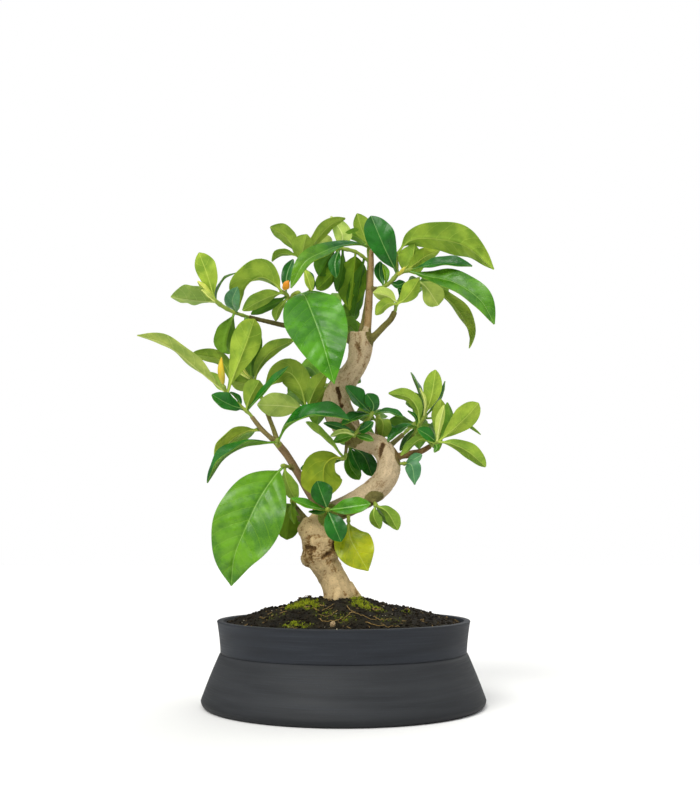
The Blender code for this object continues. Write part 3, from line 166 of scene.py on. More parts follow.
def whorled(tint, length, width, stem, count, start):
    """Leaves of a shoot that grows away from the front: threes that turn, and droop as they spread."""
    leaves = []
    tiers = len(stem) - 1
    for index in range(count):
        x, z, back = stem[min(1 + index // 3, tiers)]
        angle = math.radians(start + 120 * (index % 3) + 60 * (index // 3))
        out_x = math.cos(angle)
        out_z = math.sin(angle)
        reach = length * (1 - 0.12 * (index // 3))
        mid = (x + 0.36 * reach * out_x, z + 0.36 * reach * out_z + 2.5, back + 0.34 * reach)
        tip = (x + 0.66 * reach * out_x, z + 0.66 * reach * out_z - 4.0, back + 0.62 * reach)
        leaves.append(leaf(tint, width, 150, (x, z, back), mid, tip))
    return leaves


# Sprays: the twig that carries each, its own green stems and its leaves
SPRAYS = {
    "spray_far_left": {
        "twig": "upper_branch",
        "stems": [[(-70.0, 253.2, 3), (-76.0, 255.6, 2), (-82.0, 259.0, 1), (-87.0, 262.8, 0)]],
        "leaves": [
            leaf("bright", 15, 165, (-87, 263, 0), (-92.0, 280, -4), (-98.3, 296, -5), peak=0.64),
            leaf("pale", 21, 132, (-86, 262, 0), (-101, 263.5, -6), (-116.8, 265.5, -9), fold=24, peak=0.55),
            leaf("yellow", 4.5, 165, (-87, 263, 0), (-92.5, 269.5, -4), (-98.8, 276.3, -6)),
            leaf("yellow", 4, 140, (-87, 263, 0), (-91, 266, -7), (-96, 270.5, -10)),
            leaf("dark", 9, 88, (-87, 263, 0), (-86.2, 270, 4), (-81, 278.8, 7), (-72.5, 282.4, 8), fold=4),
            leaf("dark", 17, 150, (-74, 254, 3), (-77.5, 243, 3), (-79.5, 232, 1), (-77, 226, 0)),
            leaf("blue", 11, 20, (-72, 254, 3), (-75.4, 262, -13), (-72.0, 272, -20), fold=10),
            leaf("bright", 7, 30, (-67, 252, 4), (-65, 247, -1), (-69, 240.5, -3), fold=10),
        ]},
    "spray_upper_left": {
        "twig": "upper_left_twig",
        "stems": [[(-36.8, 262.0, 5), (-39.0, 267.0, 1), (-41.5, 268.5, -1)],
                  [(-36.8, 262.0, 5), (-34.0, 267.0, 1), (-31.0, 268.0, -3)]],
        "leaves": [
            leaf("bright", 25, 125, (-41.5, 268.5, -1), (-48, 276, -5), (-57.5, 279.8, -9), (-67, 272.5, -9),
                 (-71, 257, -6), fold=30, peak=0.5),
            leaf("mid", 12, 150, (-41.5, 267, -1), (-49, 266.4, -8), (-59, 261.8, -13), (-68.4, 256, -15),
                 fold=14),
            leaf("deep", 8.5, 150, (-38.5, 266, 2), (-46, 261.6, -1), (-55, 257.4, -4), (-62.6, 253.4, -5),
                 fold=10),
            leaf("mid", 7, 160, (-38, 265, 3), (-44.6, 256.6, 9), (-46.0, 248.6, 10)),
            leaf("lush", 40, 8, (-31, 268, -3), (-26.6, 266, -14), (-20.3, 251, -29), (-14.9, 235.6, -37),
                 (-10.9, 222, -41), (-6.4, 206, -42), fold=9, peak=0.43),
            leaf("dark", 8, 20, (-39.5, 268, 1), (-38.6, 281, 3), (-34.6, 291.5, 4)),
        ]},
    "spray_upper_middle": {
        "twig": "upper_middle_twig",
        "stems": [[(-27.4, 286.0, 8), (-29.5, 291.0, 7), (-31.0, 295.0, 6)]],
        "leaves": [
            leaf("mid", 14, 148, (-31, 295, 6), (-39, 307.0, 4), (-50.2, 314.4, 1), fold=18),
            leaf("mid", 7, 140, (-31, 294, 6), (-40, 296.0, 8), (-45.5, 294.6, 9), (-49, 290.0, 9)),
            leaf("mid", 16, 168, (-28, 288, 8), (-28.0, 299, 3), (-25.5, 309, 1), fold=10),
            leaf("bright", 7, 160, (-27, 285, 8), (-24.5, 279, 3), (-21.5, 269.5, 2)),
            leaf("dark", 6, 70, (-27, 285, 8), (-22.5, 281, 7), (-20.6, 270.5, 6)),
            leaf("mid", 10, 150, (-29, 291, 7), (-20, 304, 6), (-10, 315.5, 4), (0.8, 320.4, 2)),
        ]},
    "spray_crown": {
        "twig": "crown_twig",
        "stems": [[(16.8, 290.0, 13), (16.8, 298.0, 11), (16.6, 302.0, 10)],
                  [(16.8, 290.0, 13), (8.0, 296.5, 11), (-2.0, 299.0, 10), (-6.0, 299.5, 9)]],
        "leaves": [
            leaf("fading", 13, 62, (16.6, 300, 10), (10, 302.4, 0), (-3, 301.0, -12), (-15, 296.4, -19),
                 (-27, 289, -24), (-36.0, 271.5, -23), fold=20, twist=-30),
            leaf("mid", 13, 160, (16.6, 301, 10), (12.5, 312, 8), (9, 323.6, 7)),
            leaf("dark", 11, 145, (16.6, 300, 10), (11, 306.5, 13), (1, 310.2, 13)),
            leaf("pale", 13, 165, (-2, 299, 10), (-1, 309, 13), (-9, 321.6, 13), peak=0.42),
            leaf("pale", 11, 168, (-6, 299.5, 9), (-13, 303.5, 12), (-20.5, 301, 12)),
            leaf("deep", 15, 155, (-6, 299, 9), (-12, 290, 9), (-17.4, 280, 7)),
            leaf("dark", 9, 20, (-3, 299, 10), (-6.2, 289, 4), (-5.2, 278.6, 2)),
            leaf("shade", 12, 155, (-5, 299, 10), (-7, 284, 13), (-18.5, 270.4, 10), peak=0.68),
            leaf("deep", 9, 150, (-1, 299, 10), (-1.5, 285, 15), (-5, 269, 16)),
            leaf("shade", 23, 165, (8, 297, 11), (6, 280, 19), (3.5, 256, 21), peak=0.45, fold=10),
            leaf("deep", 15, 150, (14, 293, 12), (10, 276, 21), (6.5, 252, 22)),
        ]},
    "spray_crown_low": {
        "twig": "back_twig_top",
        "stems": [[(-5.0, 243.0, 33), (-8.0, 249.0, 41), (-12.0, 255.0, 48)]],
        "leaves": whorled("dark", 34, 15, [(-5.0, 243.0, 33), (-8.0, 249.0, 41), (-12.0, 255.0, 48)], 5, 90)
        + [leaf("dark", 15, 150, (-4.5, 242.4, 31), (4, 252, 27), (7.5, 266, 25)),
           leaf("dark", 13, 150, (-5, 243, 33), (3, 246, 27), (9, 241, 24))]},
    "spray_upper_right": {
        "twig": "side_shoot",
        "stems": [[(27.4, 272.6, 1), (32.0, 276.2, 0), (36.0, 281.0, 0)],
                  [(36.0, 281.0, 0), (41.0, 283.0, -1), (45.0, 284.0, -2)],
                  [(36.0, 281.0, 0), (35.5, 288.0, 4), (35.0, 295.0, 6)]],
        "leaves": [
            leaf("dark", 20, 14, (36, 281.5, 0), (29, 296, -9), (23.5, 309, -11), (18.3, 322, -8), fold=12,
                 peak=0.6),
            leaf("bright", 25.5, 146, (35, 295, 6), (45, 305.2, 6), (64, 306, -1), (84, 300.4, -8),
                 (101.5, 284.5, -12), fold=14, peak=0.5),
            leaf("bright", 21, 166, (39, 282, 0), (45.5, 291, 7), (47.5, 302, 9), fold=8, peak=0.52),
            leaf("bright", 12, 160, (41, 283, -1), (54, 293.0, 12), (65.3, 298.6, 14)),
            leaf("dark", 13, 58, (45, 284, -2), (54, 286.6, -10), (70, 288.8, -18), (86.8, 286.8, -20), fold=20),
            leaf("mid", 20, 40, (43, 283.5, -1), (56, 279.8, -12), (75, 275.2, -24), (92, 263, -30),
                 (101, 246.5, -31), fold=16, peak=0.54),
            leaf("dark", 8, 20, (27, 272.6, 1), (24, 281, 3), (24.5, 290, 4)),
            leaf("bright", 4.5, 30, (28, 273, 1), (28.8, 281, -3), (26.5, 288, -5)),
            leaf("dark", 7, 30, (31, 275.4, 0), (36.5, 273.5, 1), (41.2, 275.5, 2)),
        ]},
    "spray_right_top": {
        "twig": "right_top_branch",
        "stems": [[(34.6, 257.6, 0), (35.8, 261.0, 0), (40.5, 267.0, 3), (46.5, 273.5, 4), (49.5, 277.0, 4)]],
        "leaves": [
            leaf("bright", 13, 160, (35.5, 260, 0), (42.5, 266, -5), (50.5, 277.6, -6)),
            leaf("pale", 16, 168, (49.5, 277, 4), (56.5, 271, 1), (63.6, 259.4, 1), peak=0.68),
            leaf("mid", 16.5, 122, (47, 274, 4), (62, 270, 8), (73.6, 261, 6), (82, 249, 2), (85, 239, 1),
                 (84, 230, 0), fold=14, peak=0.66),
            leaf("mid", 9, 155, (35.5, 260, 0), (28.5, 260.6, -7), (21, 253, -9)),
            leaf("pale", 10, 165, (36, 261.5, 0), (29.0, 266.2, -5), (19.6, 268.6, -7)),
            leaf("dark", 5, 30, (37, 262.6, 1), (38.8, 268, -2), (36.5, 271.6, -4)),
            leaf("dark", 16, 150, (46, 273, 4), (60, 276, 20), (70, 268, 34)),
            leaf("dark", 15, 150, (38, 264, 2), (46, 272, 20), (52, 270, 36)),
        ]},
    "spray_left": {
        "twig": "left_stem",
        "stems": [[(-65.0, 188.0, -3), (-72.6, 194.0, -4), (-78.4, 200.6, -5), (-80.0, 203.4, -6)]],
        "leaves": [
            leaf("pale", 17, 118, (-78.4, 200.6, -5), (-95, 214.5, -12), (-111, 228, -18), (-124, 235.6, -20),
                 (-138.5, 239, -20), fold=16, peak=0.5),
            leaf("mid", 11, 146, (-77, 199, -5), (-76, 212, 3), (-82, 222, 4), (-92, 225, 3), (-101.6, 226.4, 1),
                 peak=0.66),
            leaf("mid", 8, 150, (-78.4, 200.6, -5), (-84, 207, 2), (-89.4, 213.8, 4)),
            leaf("bright", 20, 168, (-77.5, 199.6, -5), (-72.8, 214, -10), (-66.2, 232, -10), (-60.4, 250.0, -6),
                 fold=10, peak=0.70),
            leaf("dark", 14, 42, (-66, 188.8, -3), (-76, 192.2, -9), (-87.8, 198.8, -11)),
            leaf("dark", 5, 50, (-68, 190.4, -3), (-70.5, 196.5, 1), (-75.5, 200.6, 2)),
            leaf("mid", 14, 168, (-65, 188, -3), (-62.4, 197, -7), (-56.4, 208.4, -8), fold=10, peak=0.68),
            leaf("dark", 9, 62, (-65, 188, -3), (-56, 198, -11), (-47, 208, -15), (-37.2, 217.8, -17), fold=14),
        ]},
    "spray_inner_left": {
        "twig": "inner_stem",
        "stems": [[(-55.4, 198.0, 6), (-58.8, 204.0, 6), (-62.0, 209.6, 6)]],
        "leaves": [
            leaf("mid", 11.5, 148, (-60, 206, 6), (-57.0, 218, 3), (-48.0, 229.2, -1), (-33.4, 236, -5)),
            leaf("dark", 12, 160, (-62, 209.6, 6), (-62.0, 222, 7), (-56.4, 240, 6)),
            leaf("mid", 14, 160, (-59, 204.4, 6), (-67, 206.5, 8), (-76, 208.6, 10)),
            leaf("yellow", 2.4, 150, (-62, 209.6, 6), (-65.6, 213.6, 4), (-69, 218.4, 3)),
            leaf("yellow", 2.4, 150, (-62, 209.6, 6), (-66.6, 211.8, 3), (-71, 215.2, 2)),
            leaf("dark", 14, 150, (-61, 208, 6), (-70, 213, 20), (-77, 213, 34)),
            leaf("dark", 13, 150, (-60, 206, 6), (-63.5, 221, 19), (-66, 234, 32)),
        ]},
    "spray_fork": {
        "twig": "fork_stub",
        "stems": [[(-43.8, 167.0, -7.0), (-43.8, 168.0, -9.0)]],
        "leaves": [
            leaf("dark", 21, 66, (-43.8, 168, -9), (-38, 177.8, -13), (-26, 184.2, -20), (-10, 185.6, -25),
                 (3.6, 181.8, -26), fold=24),
            leaf("dark", 18, 76, (-43.8, 167.4, -8), (-55, 166.6, -12), (-67, 164.4, -17), (-80, 156, -20),
                 (-89.8, 140.2, -20), fold=24),
        ]},
    "leaf_left_arch": {
        "twig": "arch_stub",
        "stems": [[(-57.0, 175.4, 2.6)]],
        "leaves": [
            leaf("bright", 15, 122, (-57, 175.4, 2.6), (-66, 174.4, -2), (-75, 168.8, -5), (-81, 161, -6),
                 (-84.4, 153.6, -6), fold=16),
            leaf("dark", 12, 150, (-57, 175.4, 2.6), (-66, 172.6, 16), (-74.5, 164.6, 30)),
        ]},
    "spray_middle_left": {
        "twig": "mid_left_twig",
        "stems": [[(-23.0, 187.6, 7), (-25.0, 189.4, 6)]],
        "leaves": [
            leaf("mid", 19, 166, (-25, 189.4, 6), (-28.8, 204, 3), (-36.5, 214.0, 0), (-45, 211.6, -3),
                 (-52.6, 203.6, -4), fold=10, peak=0.5),
            leaf("mid", 12, 160, (-24.6, 189, 6), (-19.4, 203, 3), (-12, 213.6, 2)),
            leaf("pale", 17, 166, (-25, 189, 6), (-41, 191.4, -1), (-57.6, 192, -4), fold=8),
            leaf("mid", 11, 165, (-23, 187.6, 7), (-17.6, 195, 14), (-11, 203, 17)),
            leaf("dark", 15, 150, (-25, 189.4, 6), (-32, 200, 22), (-38, 198, 38)),
            leaf("dark", 11, 150, (-24, 188.5, 6.6), (-20.5, 199, 21), (-17.4, 203.5, 33)),
        ]},
    "spray_back_middle": {
        "twig": "back_twig_middle",
        "stems": [[(-9.0, 204.0, 36), (-12.0, 205.0, 44), (-16.0, 206.0, 52)]],
        "leaves": whorled("dark", 36, 17, [(-9.0, 204.0, 36), (-12.0, 205.0, 44), (-16.0, 206.0, 52)], 5, 15)},
    "spray_low_left": {
        "twig": "big_leaf_stub",
        "stems": [[(-38.4, 151.0, -4.6), (-39.6, 151.2, -5.6)]],
        "leaves": [
            leaf("bright", 43, 10, (-39.4, 151.2, -5.6), (-46, 144, -14), (-56, 128.5, -22), (-64.4, 110, -27),
                 (-71.2, 92, -27), (-72.8, 73.6, -23), fold=8, peak=0.47),
            leaf("mid", 11, 160, (-38.8, 151, -5), (-38.2, 145, -5), (-35, 136, -4), (-30.6, 128.6, -3)),
        ]},
    "spray_back_low": {
        "twig": "back_twig_low",
        "stems": [[(-40.0, 120.4, 28), (-48.0, 123.0, 36), (-55.0, 126.0, 45)]],
        "leaves": whorled("dark", 31, 15, [(-40.0, 120.4, 28), (-48.0, 123.0, 36), (-55.0, 126.0, 45)], 5, 100)},
    "spray_front": {
        "twig": "front_stub",
        "stems": [[(-10.7, 122.4, -12.0), (-10.7, 122.6, -13.5)]],
        "leaves": [
            leaf("dark", 15, 15, (-10.7, 122.6, -13.5), (-14.2, 132, -16), (-17.6, 141.4, -16)),
            leaf("lush", 12, 25, (-10.7, 122.4, -13), (2, 124.2, -19), (17.4, 126.6, -21)),
            leaf("dark", 14.5, 10, (-10.7, 122.4, -13), (-6.6, 113, -19), (-1.8, 102.0, -20), peak=0.6),
            leaf("lush", 8, 50, (-10.7, 122.5, -12.5), (-20, 124.6, -16), (-34.6, 130, -18)),
            leaf("dark", 4, 50, (-10.7, 122.4, -12), (-16, 120.6, -13.5), (-23, 121.6, -14)),
        ]},
    "leaf_yellow": {
        "twig": "yellow_stub",
        "stems": [[(3.0, 115.4, -6.0)]],
        "leaves": [
            leaf("leaf_yellow", 25, 8, (3.0, 115.6, -6), (4.0, 105, -10), (9, 95, -12), (15.8, 83.2, -12), fold=6,
                 peak=0.47),
        ]},
    "spray_loop_low": {
        "twig": "loop_low_stub",
        "stems": [[(20.8, 125.6, -8.0)]],
        "leaves": [
            leaf("mid", 8.5, 162, (20.8, 125.6, -8), (19.8, 118.5, -9), (23.8, 110.4, -8)),
            leaf("mid", 10, 158, (20.8, 125.6, -8), (28.8, 121.2, -10), (35.4, 109.6, -10), peak=0.62),
            leaf("dark", 11, 150, (20.8, 125.6, -7), (27, 119, 5), (31, 112, 18)),
        ]},
    "leaf_shade": {
        "twig": "shade_twig",
        "stems": [[(-33.6, 127.8, 7.2)]],
        "leaves": [
            leaf("shade", 15, 170, (-33.6, 127.8, 7.2), (-36, 117, 13), (-37.2, 103.2, 14), fold=6, peak=0.66),
            leaf("shade", 6, 150, (-33.6, 127.8, 7.2), (-34, 121, 0), (-32, 113.6, -1)),
        ]},
    "spray_pocket": {
        "twig": "pocket_twig",
        "stems": [[(0.7, 156.4, -2.4), (-1.0, 156.0, -4.0)]],
        "leaves": [
            leaf("olive", 29, 166, (-0.6, 156.2, -4), (-7, 156.6, -6), (-12.8, 152.0, -9), (-14, 143.6, -12),
                 (-12.4, 130.4, -12), fold=8, peak=0.60),
            leaf("bright", 9, 128, (-0.8, 156.2, -4), (-9, 157.2, -1), (-23, 156.4, 0)),
            leaf("mid", 8, 125, (0.6, 156.6, -3), (-6.4, 164.6, -3), (-14, 172, -4), (-25, 180.6, -4), peak=0.68),
            leaf("dark", 7, 30, (-0.8, 156, -3.6), (-12, 152, 5), (-28.6, 149.6, 7), peak=0.7),
        ]},
    "spray_loop_back": {
        "twig": "loop_back_stub",
        "stems": [[(4.0, 164.4, 21.0)]],
        "leaves": [
            leaf("dark", 9, 20, (4.0, 164.4, 21), (6.5, 157, 20), (11, 148, 19)),
            leaf("dark", 12, 15, (4.0, 164.4, 21), (13, 158, 22), (18.6, 144.6, 21), peak=0.66),
            leaf("mid", 10, 12, (4.0, 164.4, 21), (3.8, 152, 22), (10.4, 142.4, 21), peak=0.66),
            leaf("dark", 15, 150, (4.0, 164.4, 21), (0, 172, 34), (-4, 168, 48)),
            leaf("dark", 15, 150, (4.0, 164.4, 21), (12, 172, 34), (20, 172, 46)),
        ]},
    "spray_centre": {
        "twig": "centre_stub",
        "stems": [[(6.8, 171.6, -6.0), (10.0, 175.4, -7.0), (15.0, 181.0, -6.4), (18.4, 186.0, -5.6)]],
        "leaves": [
            leaf("bright", 6.5, 25, (6.8, 171.6, -6), (0, 169.8, -10), (-7, 167.2, -11)),
            leaf("mid", 5.5, 30, (6.8, 171.6, -6), (13, 170.4, -10), (19.6, 168.2, -11)),
            leaf("dark", 7, 20, (8.6, 173.6, -6.6), (13.6, 176.0, -11), (19.4, 180.6, -12)),
            leaf("pale", 5, 150, (7, 172, -6), (0, 173.8, -10), (-9, 171.2, -11)),
            leaf("dark", 5.5, 20, (8, 173, -6.4), (-1, 176.4, -10), (-13.4, 179.8, -10)),
            leaf("dark", 11, 56, (18, 185.6, -5.8), (10, 184.6, -12), (-1.4, 178.8, -15), fold=20),
            leaf("dark", 8, 62, (18.4, 186, -5.6), (29, 187.6, -9), (39.4, 183.8, -11), fold=16),
            leaf("dark", 15, 46, (18.4, 186, -5.6), (10.4, 194, -11), (1.2, 204.6, -13), fold=20),
            leaf("dark", 10, 12, (18.4, 186, -5.6), (19.6, 192, -8), (15, 199.4, -9)),
        ]},
    "spray_loop_top": {
        "twig": "loop_top_twig",
        "stems": [[(21.8, 180.4, 16.6), (22.6, 183.0, 17.0)]],
        "leaves": [
            leaf("mid", 10.5, 165, (22.6, 183, 17), (26.2, 179.2, 10), (24.8, 168.6, 12), peak=0.5),
            leaf("dark", 3, 40, (22.2, 181.6, 16.8), (28, 179, 14), (34.4, 176.2, 13)),
            leaf("dark", 14, 150, (22, 181, 16.8), (24, 188, 30), (22, 186, 46)),
            leaf("dark", 13, 150, (22, 181, 16.8), (15, 186, 28), (8, 184, 42)),
        ]},
    "spray_loop_right": {
        "twig": "loop_right_stub",
        "stems": [[(39.6, 152.8, -3.4)]],
        "leaves": [
            leaf("blue", 11, 20, (39.6, 152.8, -3.4), (44.6, 151.6, -6), (46.6, 139.0, -7), peak=0.4),
            leaf("blue", 7, 20, (39.6, 152.8, -3.4), (45.4, 155.4, -4), (51.4, 158.8, -4)),
        ]},
    "spray_right": {
        "twig": "right_branch",
        "stems": [[(59.4, 165.8, -0.4), (62.0, 167.4, -1)]],
        "leaves": [
            leaf("mid", 15.5, 166, (62, 167.4, -1), (71.8, 175.4, -6), (81.2, 184.2, -9), (89.2, 193.2, -10),
                 fold=10, peak=0.66),
            leaf("mid", 11.5, 154, (62, 167.2, -1), (72.4, 165.8, -7), (83.6, 160.0, -11), (93.4, 150.8, -12),
                 peak=0.62),
            leaf("mid", 12, 165, (62, 167.4, -1), (63.8, 180, 1), (64, 195.6, 1)),
            leaf("dark", 9, 150, (62, 167.4, -1), (69.6, 179, 2), (68.4, 193.4, 3)),
            leaf("pale", 6, 160, (61, 167, -1), (63, 179, -6), (66.2, 191.6, -7)),
            leaf("mid", 4.5, 20, (60, 166.2, -1), (61.4, 163.2, -4), (59.4, 160.4, -5)),
            leaf("dark", 9, 30, (61, 166.8, -1), (56, 171.4, -6), (48.6, 175.8, -9)),
            leaf("mid", 7.5, 140, (60, 166.2, -1), (49.6, 169.4, -6), (37.2, 158.2, -8)),
            leaf("dark", 12, 150, (61.4, 167, -1), (61, 173, 15), (63, 181, 30)),
        ]},
    "spray_right_upper": {
        "twig": "right_up_twig",
        "stems": [[(48.0, 175.6, 5), (50.0, 179.2, 4), (53.2, 184.2, 3)]],
        "leaves": [
            leaf("bright", 12.5, 170, (53.2, 184.2, 3), (58.0, 198, -1), (60.9, 215.4, -2), fold=10, peak=0.62),
            leaf("mid", 10, 150, (50, 179.2, 4), (49.0, 189.6, -1), (42.6, 197.6, -4), (29.6, 199.8, -5)),
            leaf("dark", 10, 80, (52, 182.4, 3.4), (51, 198, 4), (44.8, 213.8, 3), fold=14),
            leaf("pale", 2.6, 160, (53.2, 184.2, 3), (54, 194, -3), (50.6, 203.2, -4)),
            leaf("dark", 8, 78, (53.2, 184.2, 3), (63.6, 196, 10), (67.0, 207.8, 12), fold=8),
            leaf("mid", 9, 104, (52.6, 183.2, 3), (66, 183.4, 12), (78, 180.4, 14), (90.4, 172.2, 12)),
            leaf("dark", 9.5, 58, (49, 177.4, 4.6), (40, 177.2, -1), (28.6, 167.4, -3), fold=20),
            leaf("dark", 2.6, 40, (49, 177.4, 4.6), (47.2, 184, 3.5), (42.4, 188, 3)),
            leaf("deep", 6, 30, (49, 177.4, 4.6), (43.2, 170.5, 11), (36.8, 161.4, 12)),
            leaf("dark", 14, 150, (51, 180.8, 3.8), (50, 190, 18), (46, 190, 34)),
        ]},
    "spray_back_right": {
        "twig": "back_twig_right",
        "stems": [[(42.0, 175.0, 26), (48.0, 180.0, 34), (54.0, 184.0, 42)]],
        "leaves": whorled("dark", 31, 14, [(42.0, 175.0, 26), (48.0, 180.0, 34), (54.0, 184.0, 42)], 5, 75)},
}

# Buds: unopened leaves that stand on their own just past a stem, as (x, z, back, radius)
BUDS = {
    "bud_left": [(-80.4, 205.6, -6.6, 1.0), (-81.6, 210.6, -8.0, 2.1), (-82.0, 216.5, -9.0, 2.0),
                 (-81.8, 224.0, -9.5, 0.7)],
    "bud_upper_left": [(-40.6, 270.6, -3.0, 1.4), (-39.4, 272.6, -4.6, 2.4), (-38.4, 274.6, -5.8, 2.0),
                       (-37.4, 276.6, -6.6, 0.8)],
    "bud_upper_right": [(36.4, 280.0, -3.4, 0.9), (38.0, 282.0, -4.4, 1.3), (39.6, 284.0, -5.0, 1.1),
                        (41.6, 286.2, -5.4, 0.5)],
}


# Curves and blades
def smooth(rows, count):
    """count + 1 rows, evenly spaced along a smooth curve through the given rows."""
    rows = [np.array(row, dtype=float) for row in rows]
    knots = [2 * rows[0] - rows[1]] + rows + [2 * rows[-1] - rows[-2]]
    fine = []
    for a, b, c, d in zip(knots, knots[1:], knots[2:], knots[3:]):
        for t in np.arange(0.0, 1.0, 0.1):
            fine.append(b + 0.5 * ((c - a) * t + (2 * a - 5 * b + 4 * c - d) * t ** 2
                                   + (3 * b - a - 3 * c + d) * t ** 3))
    fine = np.array(fine + [rows[-1]])
    steps = np.linalg.norm(np.diff(fine[:, :3], axis=0), axis=1)
    travelled = np.concatenate(([0.0], np.cumsum(steps)))
    stops = np.linspace(0.0, travelled[-1], count + 1)
    return np.array([np.interp(stops, travelled, column) for column in fine.T]).T


def placed(rows):
    """Rows of (x, z, back, radius) as rows of metres."""
    return [(*place(x, z, back), radius * MM) for x, z, back, radius in rows]


def length_of(rows):
    """Length in metres of the broken line through rows."""
    return sum((Vector(b[:3]) - Vector(a[:3])).length for a, b in zip(rows, rows[1:]))


def twig_rows(name):
    """Rows of metres along a twig of the trunk."""
    rows = placed(TWIGS[name])
    return smooth(rows, max(2, round(length_of(rows) / MM / TWIG_SPACING)))


def stem_rows(spray):
    """Rows of metres for each green stem of a spray; the first starts just past its twig's flat end."""
    twig = twig_rows(spray["twig"])
    end = Vector(twig[-1][:3])
    ahead = (end - Vector(twig[-2][:3])).normalized() * MM
    stems = []
    for number, stem in enumerate(spray["stems"]):
        points = [place(*stop) for stop in stem]
        if number == 0:
            points.insert(0, end + ahead * (GAP + STEM_LEAD))
        radii = np.linspace(STEM_RADIUS[0], STEM_RADIUS[1], len(points)) * MM
        rows = [(*point, radius) for point, radius in zip(points, radii)]
        stems.append(smooth(rows, max(1, round(length_of(rows) / MM / STEM_SPACING))))
    start = (*(end + ahead * GAP), min(STEM_RADIUS[0] * MM, twig[-1][3]))
    stems[0] = np.vstack((start, stems[0]))
    return stems


def nearest_on_stems(stems, point):
    """The point of the stems' centre lines nearest to a point, past the first stem's straight start."""
    best = None
    for number, stem in enumerate(stems):
        rest = stem[1:] if number == 0 else stem
        for a, b in zip(rest, rest[1:]):
            foot = Vector(a[:3])
            run = Vector(b[:3]) - foot
            share = max(0.0, min(0.97, (point - foot).dot(run) / run.length_squared))
            candidate = foot + run * share
            if best is None or (candidate - point).length < (best - point).length:
                best = candidate
    return best


def half_width(leaf_, along):
    """Half the width in metres of a leaf at a share of its length."""
    share = max(0.0, min(1.0, (along - STALK_SHARE) / (1 - STALK_SHARE)))
    rise = OUTLINE_POWER * leaf_["peak"]
    fall = OUTLINE_POWER * (1 - leaf_["peak"])
    top = leaf_["peak"] ** rise * (1 - leaf_["peak"]) ** fall
    full = leaf_["width"] / 2 * share ** rise * (1 - share) ** fall / top
    least = STALK_HALF_WIDTH + (TIP_HALF_WIDTH - STALK_HALF_WIDTH) * along
    return max(full, least) * MM


def blade(leaf_, start):
    """A leaf's surface: a function of the share along it and of the place across it, from -1 to 1."""
    route = [start] + [place(*stop) for stop in leaf_["route"][1:]]
    path = smooth(route, BLADE_STATIONS)
    tangents = np.gradient(path, axis=0)
    chord = Vector(path[-1] - path[0])
    sight = Vector(path[BLADE_STATIONS // 2]) - Vector(EYE) * MM
    level = chord.cross(sight).normalized()
    sign = 1 if chord.x < 0 else -1
    fold = math.radians(leaf_["fold"])

    def surface(along, across):
        at = min(along, 0.9999) * BLADE_STATIONS
        index = int(at)
        centre = Vector(path[index]).lerp(Vector(path[index + 1]), at - index)
        ahead = Vector(tangents[index]).lerp(Vector(tangents[index + 1]), at - index).normalized()
        left = (level - ahead * level.dot(ahead)).normalized()
        front = ahead.cross(left)
        turn = math.radians(leaf_["face"] + leaf_["twist"] * along) * sign
        out = left * math.cos(turn) + front * math.sin(turn)
        up = ahead.cross(out)
        half = half_width(leaf_, along)
        wave = WAVE * across ** 2 * math.sin(2 * math.pi * WAVE_COUNT * along + 2 * across)
        rise = abs(across) * math.sin(fold) + wave * min(1.0, 4 * (1 - along))
        return centre + out * across * half * math.cos(fold) + up * half * rise

    return surface


# Building blocks
def linear(red, green, blue):
    """An sRGB colour of 0 to 255 as linear light."""
    shares = (red / 255, green / 255, blue / 255)
    return tuple(s / 12.92 if s <= 0.04045 else ((s + 0.055) / 1.055) ** 2.4 for s in shares)


def new_object(name, mesh):
    """An object for a mesh, linked to the scene."""
    item = bpy.data.objects.new(name, mesh)
    bpy.context.scene.collection.objects.link(item)
    return item


def baked(item):
    """The mesh of an object with its modifiers applied, as a fresh mesh."""
    graph = bpy.context.evaluated_depsgraph_get()
    return bpy.data.meshes.new_from_object(item.evaluated_get(graph), depsgraph=graph)


def dress(item, slot_name, *nodes):
    """A finished piece: it rides on the plant and stands for its nodes. slot_name is not used."""
    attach(item, "root")
    if nodes:
        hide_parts(*nodes)


def grid_faces(rows, columns, first=0, wrap=False, flip=False):
    """Quads of a grid of points numbered row by row; wrap closes each row to a ring."""
    faces = []
    span = columns if wrap else columns - 1
    for row in range(rows - 1):
        for column in range(span):
            a = first + row * columns + column
            b = first + row * columns + (column + 1) % columns
            quad = (a, b, b + columns, a + columns)
            faces.append(quad[::-1] if flip else quad)
    return faces


